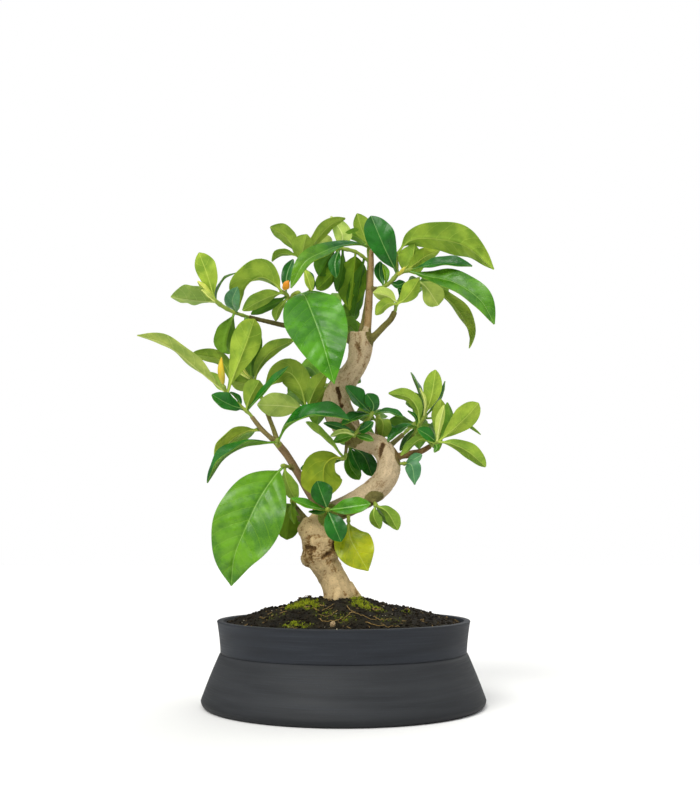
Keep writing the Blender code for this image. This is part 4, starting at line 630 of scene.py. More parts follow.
class Body:
    """A mesh in the making: points, faces, the material of each face and values for each point."""

    def __init__(self):
        self.points = []
        self.faces = []
        self.slots = []
        self.tints = []
        self.veins = []
        self.places = []

    def add(self, points, faces, slot_index, tint, veins=None, places=None):
        """Add points with their faces, counted from the first of these points."""
        first = len(self.points)
        self.points.extend(points)
        self.faces.extend(tuple(first + corner for corner in face) for face in faces)
        self.slots.extend([slot_index] * len(faces))
        tint = list(tint) if isinstance(tint, list) else [tint] * len(points)
        self.tints.extend(tint)
        self.veins.extend(veins or [(0.0, 0.0)] * len(points))
        self.places.extend(places or [(0.0, 0.0)] * len(points))

    def build(self, name, materials):
        """The finished object."""
        mesh = bpy.data.meshes.new(name)
        mesh.from_pydata([tuple(point) for point in self.points], [], self.faces)
        for finish in materials:
            mesh.materials.append(finish)
        mesh.polygons.foreach_set("material_index", self.slots)
        mesh.polygons.foreach_set("use_smooth", [True] * len(self.faces))
        tint = mesh.color_attributes.new("Tint", "FLOAT_COLOR", "POINT")
        tint.data.foreach_set("color", np.array([(*t[:3], 1.0) for t in self.tints], dtype=np.float32).ravel())
        corners = np.zeros(len(mesh.loops), dtype=np.int32)
        mesh.loops.foreach_get("vertex_index", corners)
        for title, values in (("Veins", self.veins), ("Blade", self.places)):
            layer = mesh.uv_layers.new(name=title)
            layer.data.foreach_set("uv", np.array(values, dtype=np.float32)[corners].ravel())
        mesh.validate()
        mesh.update()
        return new_object(name, mesh)


# Material building
class Finish:
    """A Principled material with short calls for the nodes that feed it."""

    def __init__(self, name, **plain):
        self.material = bpy.data.materials.new(name)
        self.material.use_nodes = True
        self.tree = self.material.node_tree
        self.shader = self.tree.nodes["Principled BSDF"]
        self.put(self.shader, plain)

    def put(self, node, values):
        """Set or link a node's inputs by name."""
        for key, value in values.items():
            socket = node.inputs[key.replace("_", " ")] if isinstance(key, str) else node.inputs[key]
            if isinstance(value, bpy.types.NodeSocket):
                self.tree.links.new(value, socket)
            else:
                socket.default_value = value

    def node(self, kind, values=None, **settings):
        """A new node."""
        made = self.tree.nodes.new(kind)
        for key, value in settings.items():
            setattr(made, key, value)
        self.put(made, values or {})
        return made

    def where(self):
        """Position on the plant, in metres."""
        return self.node("ShaderNodeTexCoord").outputs["Object"]

    def math(self, operation, first, second=0.0, third=0.0, clamp=False):
        """The result of a maths node."""
        made = self.node("ShaderNodeMath", operation=operation, use_clamp=clamp)
        self.put(made, {0: first, 1: second, 2: third})
        return made.outputs[0]

    def noise(self, scale, detail=3.0, roughness=0.55, vector=None, stretch=None):
        """Noise at a scale in features per metre."""
        vector = vector or self.where()
        if stretch:
            vector = self.node("ShaderNodeMapping", {"Vector": vector, "Scale": stretch}).outputs["Vector"]
        made = self.node("ShaderNodeTexNoise", {"Vector": vector, "Scale": scale, "Detail": detail,
                                                "Roughness": roughness})
        return made.outputs["Fac"]

    def cells(self, scale, feature="F1", vector=None):
        """Distance in a cell pattern at a scale in cells per metre."""
        made = self.node("ShaderNodeTexVoronoi", {"Vector": vector or self.where(), "Scale": scale},
                         feature=feature)
        return made.outputs["Distance"]

    def ramp(self, factor, *stops):
        """A colour ramp with (place, colour) stops."""
        made = self.node("ShaderNodeValToRGB", {"Fac": factor})
        elements = made.color_ramp.elements
        while len(elements) < len(stops):
            elements.new(0.5)
        for element, (spot, colour) in zip(elements, stops):
            element.position = spot
            element.color = (*colour, 1.0)
        return made.outputs["Color"]

    def span(self, value, low, high, to_low=0.0, to_high=1.0):
        """A value mapped from one range to another, with smooth ends."""
        made = self.node("ShaderNodeMapRange", interpolation_type="SMOOTHSTEP")
        self.put(made, {"Value": value, "From Min": low, "From Max": high, "To Min": to_low,
                        "To Max": to_high})
        return made.outputs["Result"]

    def mix(self, factor, first, second, blend="MIX"):
        """Two colours mixed."""
        made = self.node("ShaderNodeMix", data_type="RGBA", blend_type=blend)
        colours = [socket for socket in made.inputs if socket.type == "RGBA"]
        self.put(made, {0: factor})
        for socket, value in zip(colours, (first, second)):
            if isinstance(value, bpy.types.NodeSocket):
                self.tree.links.new(value, socket)
            else:
                socket.default_value = (*value, 1.0)
        return next(socket for socket in made.outputs if socket.type == "RGBA")

    def bump(self, height, distance, strength=1.0, normal=None):
        """A bump whose height of 1 stands for a distance in millimetres."""
        values = {"Height": height, "Distance": distance * MM, "Strength": strength}
        if normal:
            values["Normal"] = normal
        return self.node("ShaderNodeBump", values).outputs["Normal"]

    def tint(self):
        """The colour kept on the piece's points."""
        return self.node("ShaderNodeAttribute", attribute_name="Tint").outputs["Color"]

    def uv(self, name):
        """The two numbers of one of the piece's maps."""
        split = self.node("ShaderNodeSeparateXYZ", {"Vector": self.node("ShaderNodeUVMap", uv_map=name).outputs["UV"]})
        return split.outputs["X"], split.outputs["Y"]

    def finish(self, colour, roughness, normal):
        """Link the results to the shader and return the material."""
        self.put(self.shader, {"Base Color": colour, "Roughness": roughness, "Normal": normal})
        return self.material


# Leaf colours: upper side, underside, and how far both turn to the second pair towards the tip
TINTS = {
    "bright": (linear(92, 146, 22), linear(154, 182, 58)),
    "lush": (linear(70, 136, 8), linear(140, 172, 48)),
    "mid": (linear(78, 134, 24), linear(136, 166, 54)),
    "dark": (linear(24, 100, 12), linear(102, 146, 38)),
    # Painted shade: a darker green for leaves deep inside the crown, where shade falls
    "deep": (linear(52, 100, 12), linear(64, 110, 14)),
    "pale": (linear(138, 170, 58), linear(174, 196, 92)),
    "yellow": (linear(206, 214, 60), linear(220, 230, 104)),
    "leaf_yellow": (linear(158, 170, 12), linear(166, 172, 36)),
    "olive": (linear(84, 116, 16), linear(136, 158, 34)),
    # Painted shade: a duller green for leaves that hang behind, in shade
    "shade": (linear(78, 122, 20), linear(108, 146, 26)),
    # Painted sheen: a grey-blue green that stands in for the sheen on glossy upper sides
    "blue": (linear(72, 128, 82), linear(104, 148, 90)),
    "fading": (linear(14, 96, 14), linear(102, 146, 38)),
}
FADED = {"fading": (linear(84, 138, 18), linear(128, 160, 40))}


def vein_lines(finish):
    """How near a point of a blade is to its midrib and to a side vein, each from 0 to 1."""
    phase, from_midrib = finish.uv("Veins")
    along, thirds = finish.uv("Blade")
    offset = finish.math("ABSOLUTE", from_midrib)
    width = finish.math("MULTIPLY_ADD", along, -0.42, 0.62)
    midrib = finish.math("SUBTRACT", 1.0, finish.math("DIVIDE", offset, width), clamp=True)
    wobble = finish.math("MULTIPLY_ADD", finish.noise(260.0, 1.0), 0.16, -0.08)
    turned_phase = finish.math("ADD", phase, wobble)
    nearness = finish.math("ABSOLUTE", finish.math("SUBTRACT", finish.math("FRACT", turned_phase), 0.5))
    side = finish.span(nearness, 0.462, 0.497)
    return finish.span(midrib, 0.0, 0.8), side


def upper_finish():
    """The glossy upper side of a leaf."""
    finish = Finish("leaf_upper", IOR=1.45, Specular_IOR_Level=0.38, Coat_Weight=0.08, Coat_Roughness=0.14)
    midrib, side = vein_lines(finish)
    tint = finish.tint()
    patches = finish.noise(60.0, 4.0, 0.6)
    mottled = finish.mix(finish.span(patches, 0.36, 0.64), finish.mix(1.0, tint, (0.48, 0.66, 0.6), "MULTIPLY"),
                         finish.mix(1.0, tint, (1.34, 1.24, 1.1), "MULTIPLY"))
    along, thirds = finish.uv("Blade")
    stalk_shade = finish.mix(finish.span(along, 0.02, 0.24, 0.45, 0.0), mottled,
                             finish.mix(1.0, tint, (0.55, 0.62, 0.5), "MULTIPLY"))
    net = finish.cells(800.0, "DISTANCE_TO_EDGE")
    netted = finish.mix(finish.math("MULTIPLY", finish.span(net, 0.0, 0.10, 1.0, 0.0), 0.22), stalk_shade,
                        finish.mix(1.0, tint, (1.9, 1.6, 1.5), "MULTIPLY"))
    veined = finish.mix(finish.math("MULTIPLY", side, 0.5), netted,
                        finish.mix(1.0, tint, (2.1, 1.55, 1.9), "MULTIPLY"))
    ribbed = finish.mix(finish.math("MULTIPLY", midrib, 0.78), veined,
                        finish.mix(0.55, finish.mix(1.0, tint, (2.2, 1.7, 2.2), "MULTIPLY"), linear(168, 204, 120)))
    grain = finish.noise(1400.0, 2.0)
    roughness = finish.span(finish.noise(110.0, 4.0, 0.6), 0.3, 0.7, 0.22, 0.50)
    height = finish.math("ADD", finish.math("MULTIPLY", side, -0.6), finish.math("MULTIPLY", grain, 0.16))
    height = finish.math("ADD", height, finish.math("MULTIPLY", finish.span(net, 0.0, 0.16), 0.22))
    height = finish.math("ADD", height, finish.math("MULTIPLY", finish.noise(170.0, 3.0), 1.6))
    return finish.finish(ribbed, roughness, finish.bump(height, 0.26, 0.7))


def under_finish():
    """The paler, matte underside of a leaf, with raised veins."""
    finish = Finish("leaf_under", IOR=1.4, Specular_IOR_Level=0.3, Coat_Weight=0.0)
    midrib, side = vein_lines(finish)
    tint = finish.tint()
    patches = finish.noise(70.0, 3.0)
    mottled = finish.mix(finish.span(patches, 0.36, 0.64), finish.mix(1.0, tint, (0.64, 0.74, 0.66), "MULTIPLY"),
                         finish.mix(1.0, tint, (1.2, 1.14, 1.16), "MULTIPLY"))
    net = finish.cells(900.0, "DISTANCE_TO_EDGE")
    netted = finish.mix(finish.math("MULTIPLY", finish.span(net, 0.0, 0.14, 1.0, 0.0), 0.22), mottled,
                        finish.mix(1.0, tint, (0.62, 0.74, 0.5), "MULTIPLY"))
    veined = finish.mix(finish.math("MULTIPLY", side, 0.55), netted,
                        finish.mix(1.0, tint, (1.5, 1.35, 1.9), "MULTIPLY"))
    ribbed = finish.mix(finish.math("MULTIPLY", midrib, 0.85), veined,
                        finish.mix(1.0, tint, (1.75, 1.5, 2.6), "MULTIPLY"))
    height = finish.math("ADD", finish.math("MULTIPLY", side, 0.8), finish.math("MULTIPLY", net, 0.2))
    height = finish.math("ADD", height, finish.math("MULTIPLY", finish.noise(170.0, 3.0), 1.2))
    roughness = finish.span(finish.noise(120.0, 3.0), 0.2, 0.8, 0.5, 0.68)
    return finish.finish(ribbed, roughness, finish.bump(height, 0.2, 0.7))


def stem_finish():
    """Young green stems, with brown flecks along them."""
    finish = Finish("stem_green", IOR=1.45, Specular_IOR_Level=0.35)
    flecks = finish.noise(1.0, 4.0, stretch=(900.0, 900.0, 260.0))
    streaks = finish.noise(1.0, 2.0, stretch=(300.0, 300.0, 70.0))
    fresh = finish.mix(finish.span(streaks, 0.3, 0.7), finish.tint(),
                       finish.mix(1.0, finish.tint(), (1.25, 1.12, 0.9), "MULTIPLY"))
    colour = finish.mix(finish.math("MULTIPLY", finish.span(flecks, 0.58, 0.72), 0.55), fresh,
                        linear(112, 96, 52))
    roughness = finish.span(flecks, 0.3, 0.7, 0.42, 0.62)
    return finish.finish(colour, roughness, finish.bump(flecks, 0.12, 0.6))


# Leaves
def blade_grid(leaf_, start, rng):
    """A leaf's upper and lower points, with their numbers for the veins."""
    surface = blade(leaf_, start)
    route = [start] + [place(*stop) for stop in leaf_["route"][1:]]
    length = length_of([tuple(point) for point in route]) / MM
    rows = int(max(16, min(60, length / 1.5)))
    halves = int(max(4, min(16, leaf_["width"] / 2.6)))
    columns = 2 * halves + 1
    pairs = max(5, min(9, round(length / 8.5)))
    quilt = min(1.0, 0.021 * leaf_["width"] + 0.08)
    phase_shift = rng.uniform(0.0, 1.0)
    sway = rng.uniform(-1.0, 1.0)
    points = np.zeros((rows, columns, 3))
    rise = np.zeros((rows, columns))
    veins = []
    places = []
    for row in range(rows):
        along = row / (rows - 1)
        half = half_width(leaf_, along) / MM
        for column in range(columns):
            across = (column - halves) / halves
            spread = abs(across)
            points[row, column] = surface(along, across)
            phase = pairs * (along - (0.55 * spread + 0.3 * spread ** 2) * half / length * 1.15) + phase_shift
            ends = min(1.0, 6 * along, 7 * (1 - along))
            bulge = abs(math.sin(math.pi * phase)) ** 0.8
            trough = math.exp(-(across * half / 0.85) ** 2)
            curl = sway * 0.02 * half * math.sin(math.pi * along * 1.5) * across
            rise[row, column] = ends * (quilt * bulge * (1 - spread ** 3) * min(1.0, half * spread / 1.6)
                                        - 0.34 * trough * min(1.0, half / 4)) + curl
            veins.append((phase, across * half))
            places.append((along, half / 10))
    run = np.gradient(points, axis=0)
    over = np.gradient(points, axis=1)
    normals = np.cross(run, over)
    lengths = np.linalg.norm(normals, axis=2, keepdims=True)
    normals = normals / np.maximum(lengths, 1e-12)
    top = points + normals * rise[..., None] * MM
    midrib = np.exp(-(np.array([p[1] for p in veins]).reshape(rows, columns) / 0.7) ** 2)
    share = np.linspace(0.0, 1.0, rows)[:, None]
    ridge = 0.75 * midrib * (1.0 - 0.75 * share)
    thick = BLADE_THICKNESS + ridge
    bottom = top - normals * thick[..., None] * MM
    return top.reshape(-1, 3), bottom.reshape(-1, 3), rows, columns, veins, places


def add_leaf(body, leaf_, start, rng):
    """Add a leaf to a body: an upper side, an underside and the rim between them."""
    top, bottom, rows, columns, veins, places = blade_grid(leaf_, start, rng)
    shade = 1.0 + rng.uniform(-0.10, 0.10)
    warmth = rng.uniform(-0.06, 0.06)
    name = leaf_["tint"]
    share = np.repeat(np.linspace(0.0, 1.0, rows), columns)
    upper, under = [], []
    for side, colours in enumerate((upper, under)):
        near = np.array(TINTS[name][side])
        far = np.array(FADED.get(name, TINTS[name])[side])
        turn = np.clip((share - 0.42) / 0.25, 0.0, 1.0)[:, None]
        mixed = (near * (1 - turn) + far * turn) * shade * np.array((1 + warmth, 1.0, 1 - warmth))
        colours.extend(tuple(colour) for colour in mixed)
    body.add(top, grid_faces(rows, columns, flip=True), 0, upper, veins, places)
    body.add(bottom, grid_faces(rows, columns), 1, under, veins, places)
    ring = [column for column in range(columns)]
    ring += [row * columns + columns - 1 for row in range(1, rows)]
    ring += [(rows - 1) * columns + column for column in range(columns - 2, -1, -1)]
    ring += [row * columns for row in range(rows - 2, 0, -1)]
    rim = [top[spot] for spot in ring] + [bottom[spot] for spot in ring]
    count = len(ring)
    faces = [(spot, (spot + 1) % count, (spot + 1) % count + count, spot + count) for spot in range(count)]
    edge = [veins[spot] for spot in ring] * 2
    body.add(rim, faces, 1, [under[spot] for spot in ring] * 2, edge, [places[spot] for spot in ring] * 2)


def tube_points(rows, sides):
    """Rings of points round rows of (x, y, z, radius), kept from twisting."""
    rows = np.array(rows, dtype=float)
    ahead = np.gradient(rows[:, :3], axis=0)
    ahead /= np.linalg.norm(ahead, axis=1, keepdims=True)
    side = np.cross(ahead[0], (0.31, 0.89, 0.33))
    points = []
    for row, direction in zip(rows, ahead):
        side = side - direction * np.dot(side, direction)
        side = side / np.linalg.norm(side)
        other = np.cross(direction, side)
        for step in range(sides):
            angle = math.tau * step / sides
            points.append(row[:3] + (side * math.cos(angle) + other * math.sin(angle)) * row[3])
    return points


def tube_faces(rings, sides):
    """Faces of a tube of rings with both ends closed."""
    faces = grid_faces(rings, sides, wrap=True)
    faces.append(tuple(range(sides))[::-1])
    faces.append(tuple((rings - 1) * sides + step for step in range(sides)))
    return faces


def add_stem(body, rows, tint, rng):
    """Add a green stem with swollen joints and a rounded tip to a body."""
    rows = smooth(rows, max(4, round(length_of(rows) / MM / 0.9)))
    travelled = np.arange(len(rows)) * length_of(rows) / len(rows) / MM
    swell = 1.0 + 0.10 * np.cos(travelled / 5.5 * math.tau + rng.uniform(0, 6)) + 0.04 * np.cos(travelled * 2.3)
    rows[:, 3] *= 0.86 * swell
    direction = rows[-1, :3] - rows[-2, :3]
    direction /= np.linalg.norm(direction)
    tip = rows[-1].copy()
    for reach, share in ((0.7, 0.8), (1.2, 0.45), (1.5, 0.12)):
        extra = tip.copy()
        extra[:3] = tip[:3] + direction * reach * tip[3]
        extra[3] = tip[3] * share
        rows = np.vstack((rows, extra))
    sides = 12
    points = tube_points(rows, sides)
    body.add(points, tube_faces(len(rows), sides), 2, tint)


STEM_TINT = linear(132, 156, 62)


def build_spray(name, spray, finishes):
    """A spray: its green stems and its leaves as one piece."""
    rng = random.Random(name)
    body = Body()
    stems = stem_rows(spray)
    for number, stem in enumerate(stems):
        rows = stem
        if number == 0:
            back = Vector(stem[0][:3]) - Vector(stem[1][:3])
            rows = np.array(stem)
            rows[0, :3] += np.array(back.normalized()) * 1.6 * MM
        add_stem(body, rows, STEM_TINT, rng)
    for leaf_ in spray["leaves"]:
        start = nearest_on_stems(stems, place(*leaf_["route"][0]))
        add_leaf(body, leaf_, start, rng)
    piece = body.build(name + "_fine", finishes)
    dress(piece, "yellow_leaf" if name == "leaf_yellow" else "leaf", name)


def build_sprays():
    """Every leafy spray, each in place of its solid."""
    finishes = [upper_finish(), under_finish(), stem_finish()]
    for name, spray in SPRAYS.items():
        build_spray(name, spray, finishes)


def build_buds():
    """The unopened buds: pointed, with folded seams along them."""
    finish = Finish("bud_skin", IOR=1.45, Specular_IOR_Level=0.4)
    streaks = finish.noise(1.0, 3.0, stretch=(900.0, 900.0, 120.0))
    colour = finish.mix(finish.span(streaks, 0.35, 0.7), finish.tint(),
                        finish.mix(1.0, finish.tint(), (1.1, 0.86, 0.6), "MULTIPLY"))
    skin = finish.finish(colour, finish.span(streaks, 0.3, 0.7, 0.35, 0.5), finish.bump(streaks, 0.15, 0.7))
    for name, rows in BUDS.items():
        rows = smooth(placed(rows), 26)
        share = np.linspace(0.0, 1.0, len(rows))
        rows[:, 3] *= np.sqrt(np.clip(1.15 - share ** 6, 0.02, 1.0))
        rows[:, 3] *= np.clip(share * 14 + 0.55, 0.0, 1.0)
        sides = 24
        points = tube_points(rows, sides)
        for ring in range(len(rows)):
            centre = rows[ring, :3]
            for step in range(sides):
                angle = math.tau * step / sides + 2.2 * share[ring]
                fold = 1.0 + 0.13 * math.cos(3 * angle) - 0.10 * math.exp(-(math.sin(angle / 2) / 0.16) ** 2)
                spot = ring * sides + step
                points[spot] = centre + (points[spot] - centre) * fold
        tints = []
        low, high = BUD_TINTS[name]
        for ring in range(len(rows)):
            mixed = tuple(a + (b - a) * share[ring] for a, b in zip(low, high))
            tints.extend([mixed] * sides)
        body = Body()
        body.add(points, tube_faces(len(rows), sides), 0, tints)
        dress(body.build(name + "_fine", [skin]), "bud", name)


BUD_TINTS = {
    "bud_left": (linear(196, 190, 70), linear(228, 204, 44)),
    "bud_upper_left": (linear(214, 160, 30), linear(226, 150, 28)),
    "bud_upper_right": (linear(170, 184, 70), linear(206, 206, 84)),
}


# Trunk
LIMB_TINTS = {
    "foot": linear(196, 172, 128), "loop": linear(192, 172, 138), "left_limb": linear(136, 112, 80),
    "left_stem": linear(132, 118, 74), "inner_stem": linear(128, 122, 66), "fork_stub": linear(150, 158, 70),
    "right_branch": linear(118, 94, 56), "right_up_twig": linear(112, 116, 54),
    "right_top_branch": linear(110, 104, 54), "top_stub": linear(162, 134, 92),
    "upper_branch": linear(104, 98, 56), "front_stub": linear(126, 140, 60),
}
TWIG_TINT = linear(116, 110, 62)

# Grooves and cracks, darkened along them with painted shade: (depth, reach, shade, places along it)
GROOVES = [
    (2.2, 0.7, 0.95, [(-4.4, 203.0, -4.0), (-3.2, 198.0, -4.6), (-1.6, 191.0, -4.4), (-0.6, 186.0, -2.5)]),
    (1.6, 1.0, 0.85, [(26.0, 165.8, -5.6), (23.6, 160.6, -6.4), (21.6, 155.4, -6.2), (19.0, 148.6, -5.0)]),
    (0.9, 1.0, 0.4, [(9.0, 136.4, -4.0), (14.0, 140.6, -5.4), (18.4, 145.6, -6.0)]),
    (1.1, 0.9, 0.6, [(-13.0, 92.0, -11.0), (-6.0, 97.0, -10.0), (-4.0, 104.0, -9.0)]),
    (0.9, 0.8, 0.45, [(-25.0, 98.6, -7.0), (-19.0, 97.6, -11.0)]),
    (0.8, 0.9, 0.35, [(-22.0, 105.0, -9.0), (-15.0, 106.0, -11.0)]),
    (0.8, 1.0, 0.4, [(8.0, 233.0, -4.0), (11.0, 228.0, -4.4), (10.0, 221.0, -3.6)]),
    (0.6, 0.8, 0.3, [(-6.0, 86.0, -9.0), (-2.0, 76.0, -9.0), (1.0, 68.0, -9.0)]),
]

# A strand that runs over the trunk below its upper bend, as (x, z, back, radius)
STRAND = [(-4.0, 207.5, -2.0, 1.4), (-1.0, 201.0, -4.4, 2.0), (2.0, 194.0, -4.6, 2.1), (5.4, 187.0, -3.4, 2.0),
          (8.4, 181.0, -1.4, 1.7), (10.0, 177.0, 1.0, 1.2)]

# Dark or pale patches on the bark, partly its own colour and partly painted shade: (x, z, back, reach, share of dark,
# where a share below 0 is paler)
BARK_PATCHES_AND_SHADE = [
    (-22.5, 92.0, -8, 5.5, 0.62), (-6.0, 102.5, -9, 4.0, 0.6), (-10.0, 88.5, -9, 3.0, 0.3),
    (-24.0, 98.5, -6, 3.6, 0.3), (-8.0, 96.5, -10, 3.6, 0.35), (-16.0, 109.0, -11, 7.0, -0.25),
    (-16.0, 86.0, -7, 4.0, -0.25), (-4.0, 76.0, -9, 6.0, -0.35), (8.0, 68.5, -6, 4.0, 0.3),
    # The first three here are painted shade on the inner side of the loop
    (17.0, 148.0, -4, 4.0, 0.42), (14.0, 144.0, -3, 4.0, 0.35), (20.0, 158.0, -6, 3.0, 0.3),
    (5.0, 127.0, -5, 7.0, -0.2), (32.0, 150.0, -7, 8.0, -0.3), (14.0, 132.0, -6, 6.0, -0.3),
    (5.0, 239.0, -4, 3.6, 0.4), (13.0, 238.0, -5, 3.6, 0.3), (10.0, 222.0, -4, 6.0, -0.15),
    (4.6, 175.2, -2.5, 3.0, 0.25), (4.0, 168.6, -1, 3.0, 0.3), (-9.0, 186.0, -3, 5.0, -0.2),
]


def root_rows():
    """Rows of the root ridges, which run on into the soil."""
    ridges = []
    for x, z, back in ROOTS:
        start = [(a + b) / 2 for a, b in zip((x, z, back), (-2.5, 84.0, 0))]
        reach = math.hypot(x + 2.0, back)
        out = ((x + 2.0) / reach, back / reach)
        ridges.append([(*start, 2.8), (x, z, back, 2.9), (x + 4.2 * out[0], z - 3.6, back + 4.2 * out[1], 2.3),
                       (x + 9.5 * out[0], z - 7.6, back + 9.5 * out[1], 1.3)])
    return ridges


def trunk_limbs():
    """Every limb as (name, rows of metres close together, sides)."""
    limbs = [("foot", smooth(placed(TRUNK_FOOT), 40), 32), ("loop", smooth(placed(TRUNK_LOOP), 200), 32),
             ("foot", smooth(placed([(-1.6, 54.0, 0, 14.0), (-2.0, 61.0, 0, 12.4), (-2.6, 66.0, 0, 11.0),
                                     (-3.2, 72.0, 0, 9.6)]), 24), 32),
             ("loop", smooth(placed(STRAND), 40), 16)]
    limbs += [("foot", smooth(placed(rows), 24), 16) for rows in root_rows()]
    for name in TWIGS:
        rows = twig_rows(name)
        limbs.append((name, smooth(rows, max(6, round(length_of(rows) / MM / 1.0))), 14))
    return limbs


def segment_reach(points, a, b):
    """Distance of each point to the straight line between a and b."""
    run = b - a
    share = np.clip(((points - a) @ run) / run.dot(run), 0.0, 1.0)
    return np.linalg.norm(points - (a + share[:, None] * run), axis=1)


def build_trunk():
    """The trunk: fused limbs, with flutes, pits, grooves and the colours of its bark, with painted shade in its
    hollows.
    """
    limbs = trunk_limbs()
    shell = bmesh.new()
    for name, rows, sides in limbs:
        points = [shell.verts.new(point) for point in tube_points(rows, sides)]
        for face in tube_faces(len(rows), sides):
            shell.faces.new([points[corner] for corner in face])
    for x, z, back, radius in BURRS:
        spot = bmesh.ops.create_icosphere(shell, subdivisions=4, radius=radius * MM)
        bmesh.ops.translate(shell, verts=spot["verts"], vec=place(x, z, back))
    bmesh.ops.recalc_face_normals(shell, faces=shell.faces)
    mesh = bpy.data.meshes.new("trunk_limbs")
    shell.to_mesh(mesh)
    shell.free()
    rough = new_object("trunk_limbs", mesh)
    fuse = rough.modifiers.new("Fuse", "REMESH")
    fuse.mode = "VOXEL"
    fuse.voxel_size = TRUNK_VOXEL * MM
    soften = rough.modifiers.new("Soften", "SMOOTH")
    soften.factor = 0.5
    soften.iterations = 6
    mesh = baked(rough)
    bpy.data.objects.remove(rough, do_unlink=True)

    spots = [(Vector(row[:3]), row[3], name, index * 0.5 + number * 7.0)
             for number, (name, rows, sides) in enumerate(limbs) for index, row in enumerate(rows)]
    thick = [(Vector(row[:3]), row[3]) for name, rows, sides in limbs if sides == 32 for row in rows]
    spots = [spot for spot in spots if spot[2] in ("foot", "loop")
             or all((spot[0] - centre).length > radius * 0.96 for centre, radius in thick)]
    tree = kdtree.KDTree(len(spots))
    for index, spot in enumerate(spots):
        tree.insert(spot[0], index)
    tree.balance()

    count = len(mesh.vertices)
    points = np.zeros(count * 3, dtype=np.float32)
    normals = np.zeros(count * 3, dtype=np.float32)
    mesh.vertices.foreach_get("co", points)
    mesh.vertex_normals.foreach_get("vector", normals)
    points = points.reshape(-1, 3).astype(float)
    normals = normals.reshape(-1, 3).astype(float)

    lift = np.zeros(count)
    tone_and_shade = np.zeros(count)
    tints = np.zeros((count, 3))
    for index in range(count):
        spot = Vector(points[index])
        near = [spots[found[1]] for found in tree.find_n(spot, 3)]
        weights = [1 / (0.5 * MM + max(0.0, (spot - item[0]).length - item[1])) ** 2 for item in near]
        total = sum(weights)
        girth = sum(item[1] * weight for item, weight in zip(near, weights)) / total / MM
        colour = sum((Vector(LIMB_TINTS.get(item[2], TWIG_TINT)) * weight
                      for item, weight in zip(near, weights)), Vector()) / total
        strength = min(1.0, max(0.12, girth / 8))
        here = spot / MM
        swell = noise.noise(here / 8) + 0.5 * noise.noise(here / 4)
        out = spot - near[0][0]
        flute = noise.noise(Vector((out.x, out.y, out.z)) / MM / 2.1 + Vector((0, 0, near[0][3] / 9)))
        crack = abs(noise.noise(Vector((out.x * 1.4, out.y * 1.4, out.z)) / MM / 1.7
                                + Vector((3.3, near[0][3] / 7, 1.2))))
        knobby = max(0.0, 1 - abs(here.z - 98) / 15) if near[0][2] == "foot" else 0.0
        cell = noise.voronoi(here / (3.4 - 1.2 * knobby))[0]
        pits = cell[0] - 0.5
        fine = noise.noise(here / 0.9)
        lift[index] = strength * (0.55 * swell + 0.42 * flute - 0.35 * max(0.0, 0.22 - crack) * 4
                                  + knobby * 1.15 * pits + 0.14 * fine)
        # Darker in cracks, pits and between flutes: the bark's own tone together with painted shade in these hollows
        tone_and_shade[index] = (0.30 * flute + 0.9 * min(0.0, crack - 0.16) + knobby * 0.75 * (pits - 0.12) + 0.20 * fine
                       + 0.25 * noise.noise(here / 5))
        tints[index] = colour
    for depth, reach, shade, route in GROOVES:
        stops = [np.array(place(*stop)) for stop in route]
        away = np.min([segment_reach(points, a, b) for a, b in zip(stops, stops[1:])], axis=0) / MM
        inside = np.exp(-(np.maximum(0.0, away - 0.4) / reach) ** 2)
        lift -= depth * inside
        # Painted shade along each groove
        tone_and_shade -= shade * np.exp(-(np.maximum(0.0, away - 0.6) / (reach * 1.1)) ** 2)
    ragged = np.array([noise.noise(Vector(point) / MM / 2.6) for point in points]) * 0.35
    for x, z, back, reach, dark in BARK_PATCHES_AND_SHADE:
        away = np.linalg.norm(points - np.array(place(x, z, back)), axis=1) / MM
        tone_and_shade -= dark * 0.8 * np.exp(-(away / reach) ** 2) * (1 + ragged)
    points += normals * lift[:, None] * MM
    mesh.vertices.foreach_set("co", points.astype(np.float32).ravel())

    moss = np.clip((70.5 - points[:, 2] / MM) / 6, 0, 1) * np.clip((points[:, 0] / MM - 2) / 6, 0, 1)
    # The foot darkens towards the soil
    near_soil = np.clip((69.0 - points[:, 2] / MM) / 5, 0, 1)
    tints = tints * (1 - 0.75 * moss[:, None]) + np.array(linear(128, 132, 34)) * 0.75 * moss[:, None]
    tints *= 1 - 0.35 * (near_soil * (1 - moss))[:, None]
    colours = np.ones((count, 4), dtype=np.float32)
    colours[:, :3] = tints
    attribute = mesh.color_attributes.new("Tint", "FLOAT_COLOR", "POINT")
    attribute.data.foreach_set("color", colours.ravel())
    tones = mesh.attributes.new("ToneAndShade", "FLOAT", "POINT")
    tones.data.foreach_set("value", tone_and_shade.astype(np.float32))
    mesh.materials.clear()
    mesh.materials.append(bark_finish())
    mesh.polygons.foreach_set("use_smooth", [True] * len(mesh.polygons))
    mesh.update()
    piece = new_object("trunk_fine", mesh)
    dress(piece, "bark", "trunk")


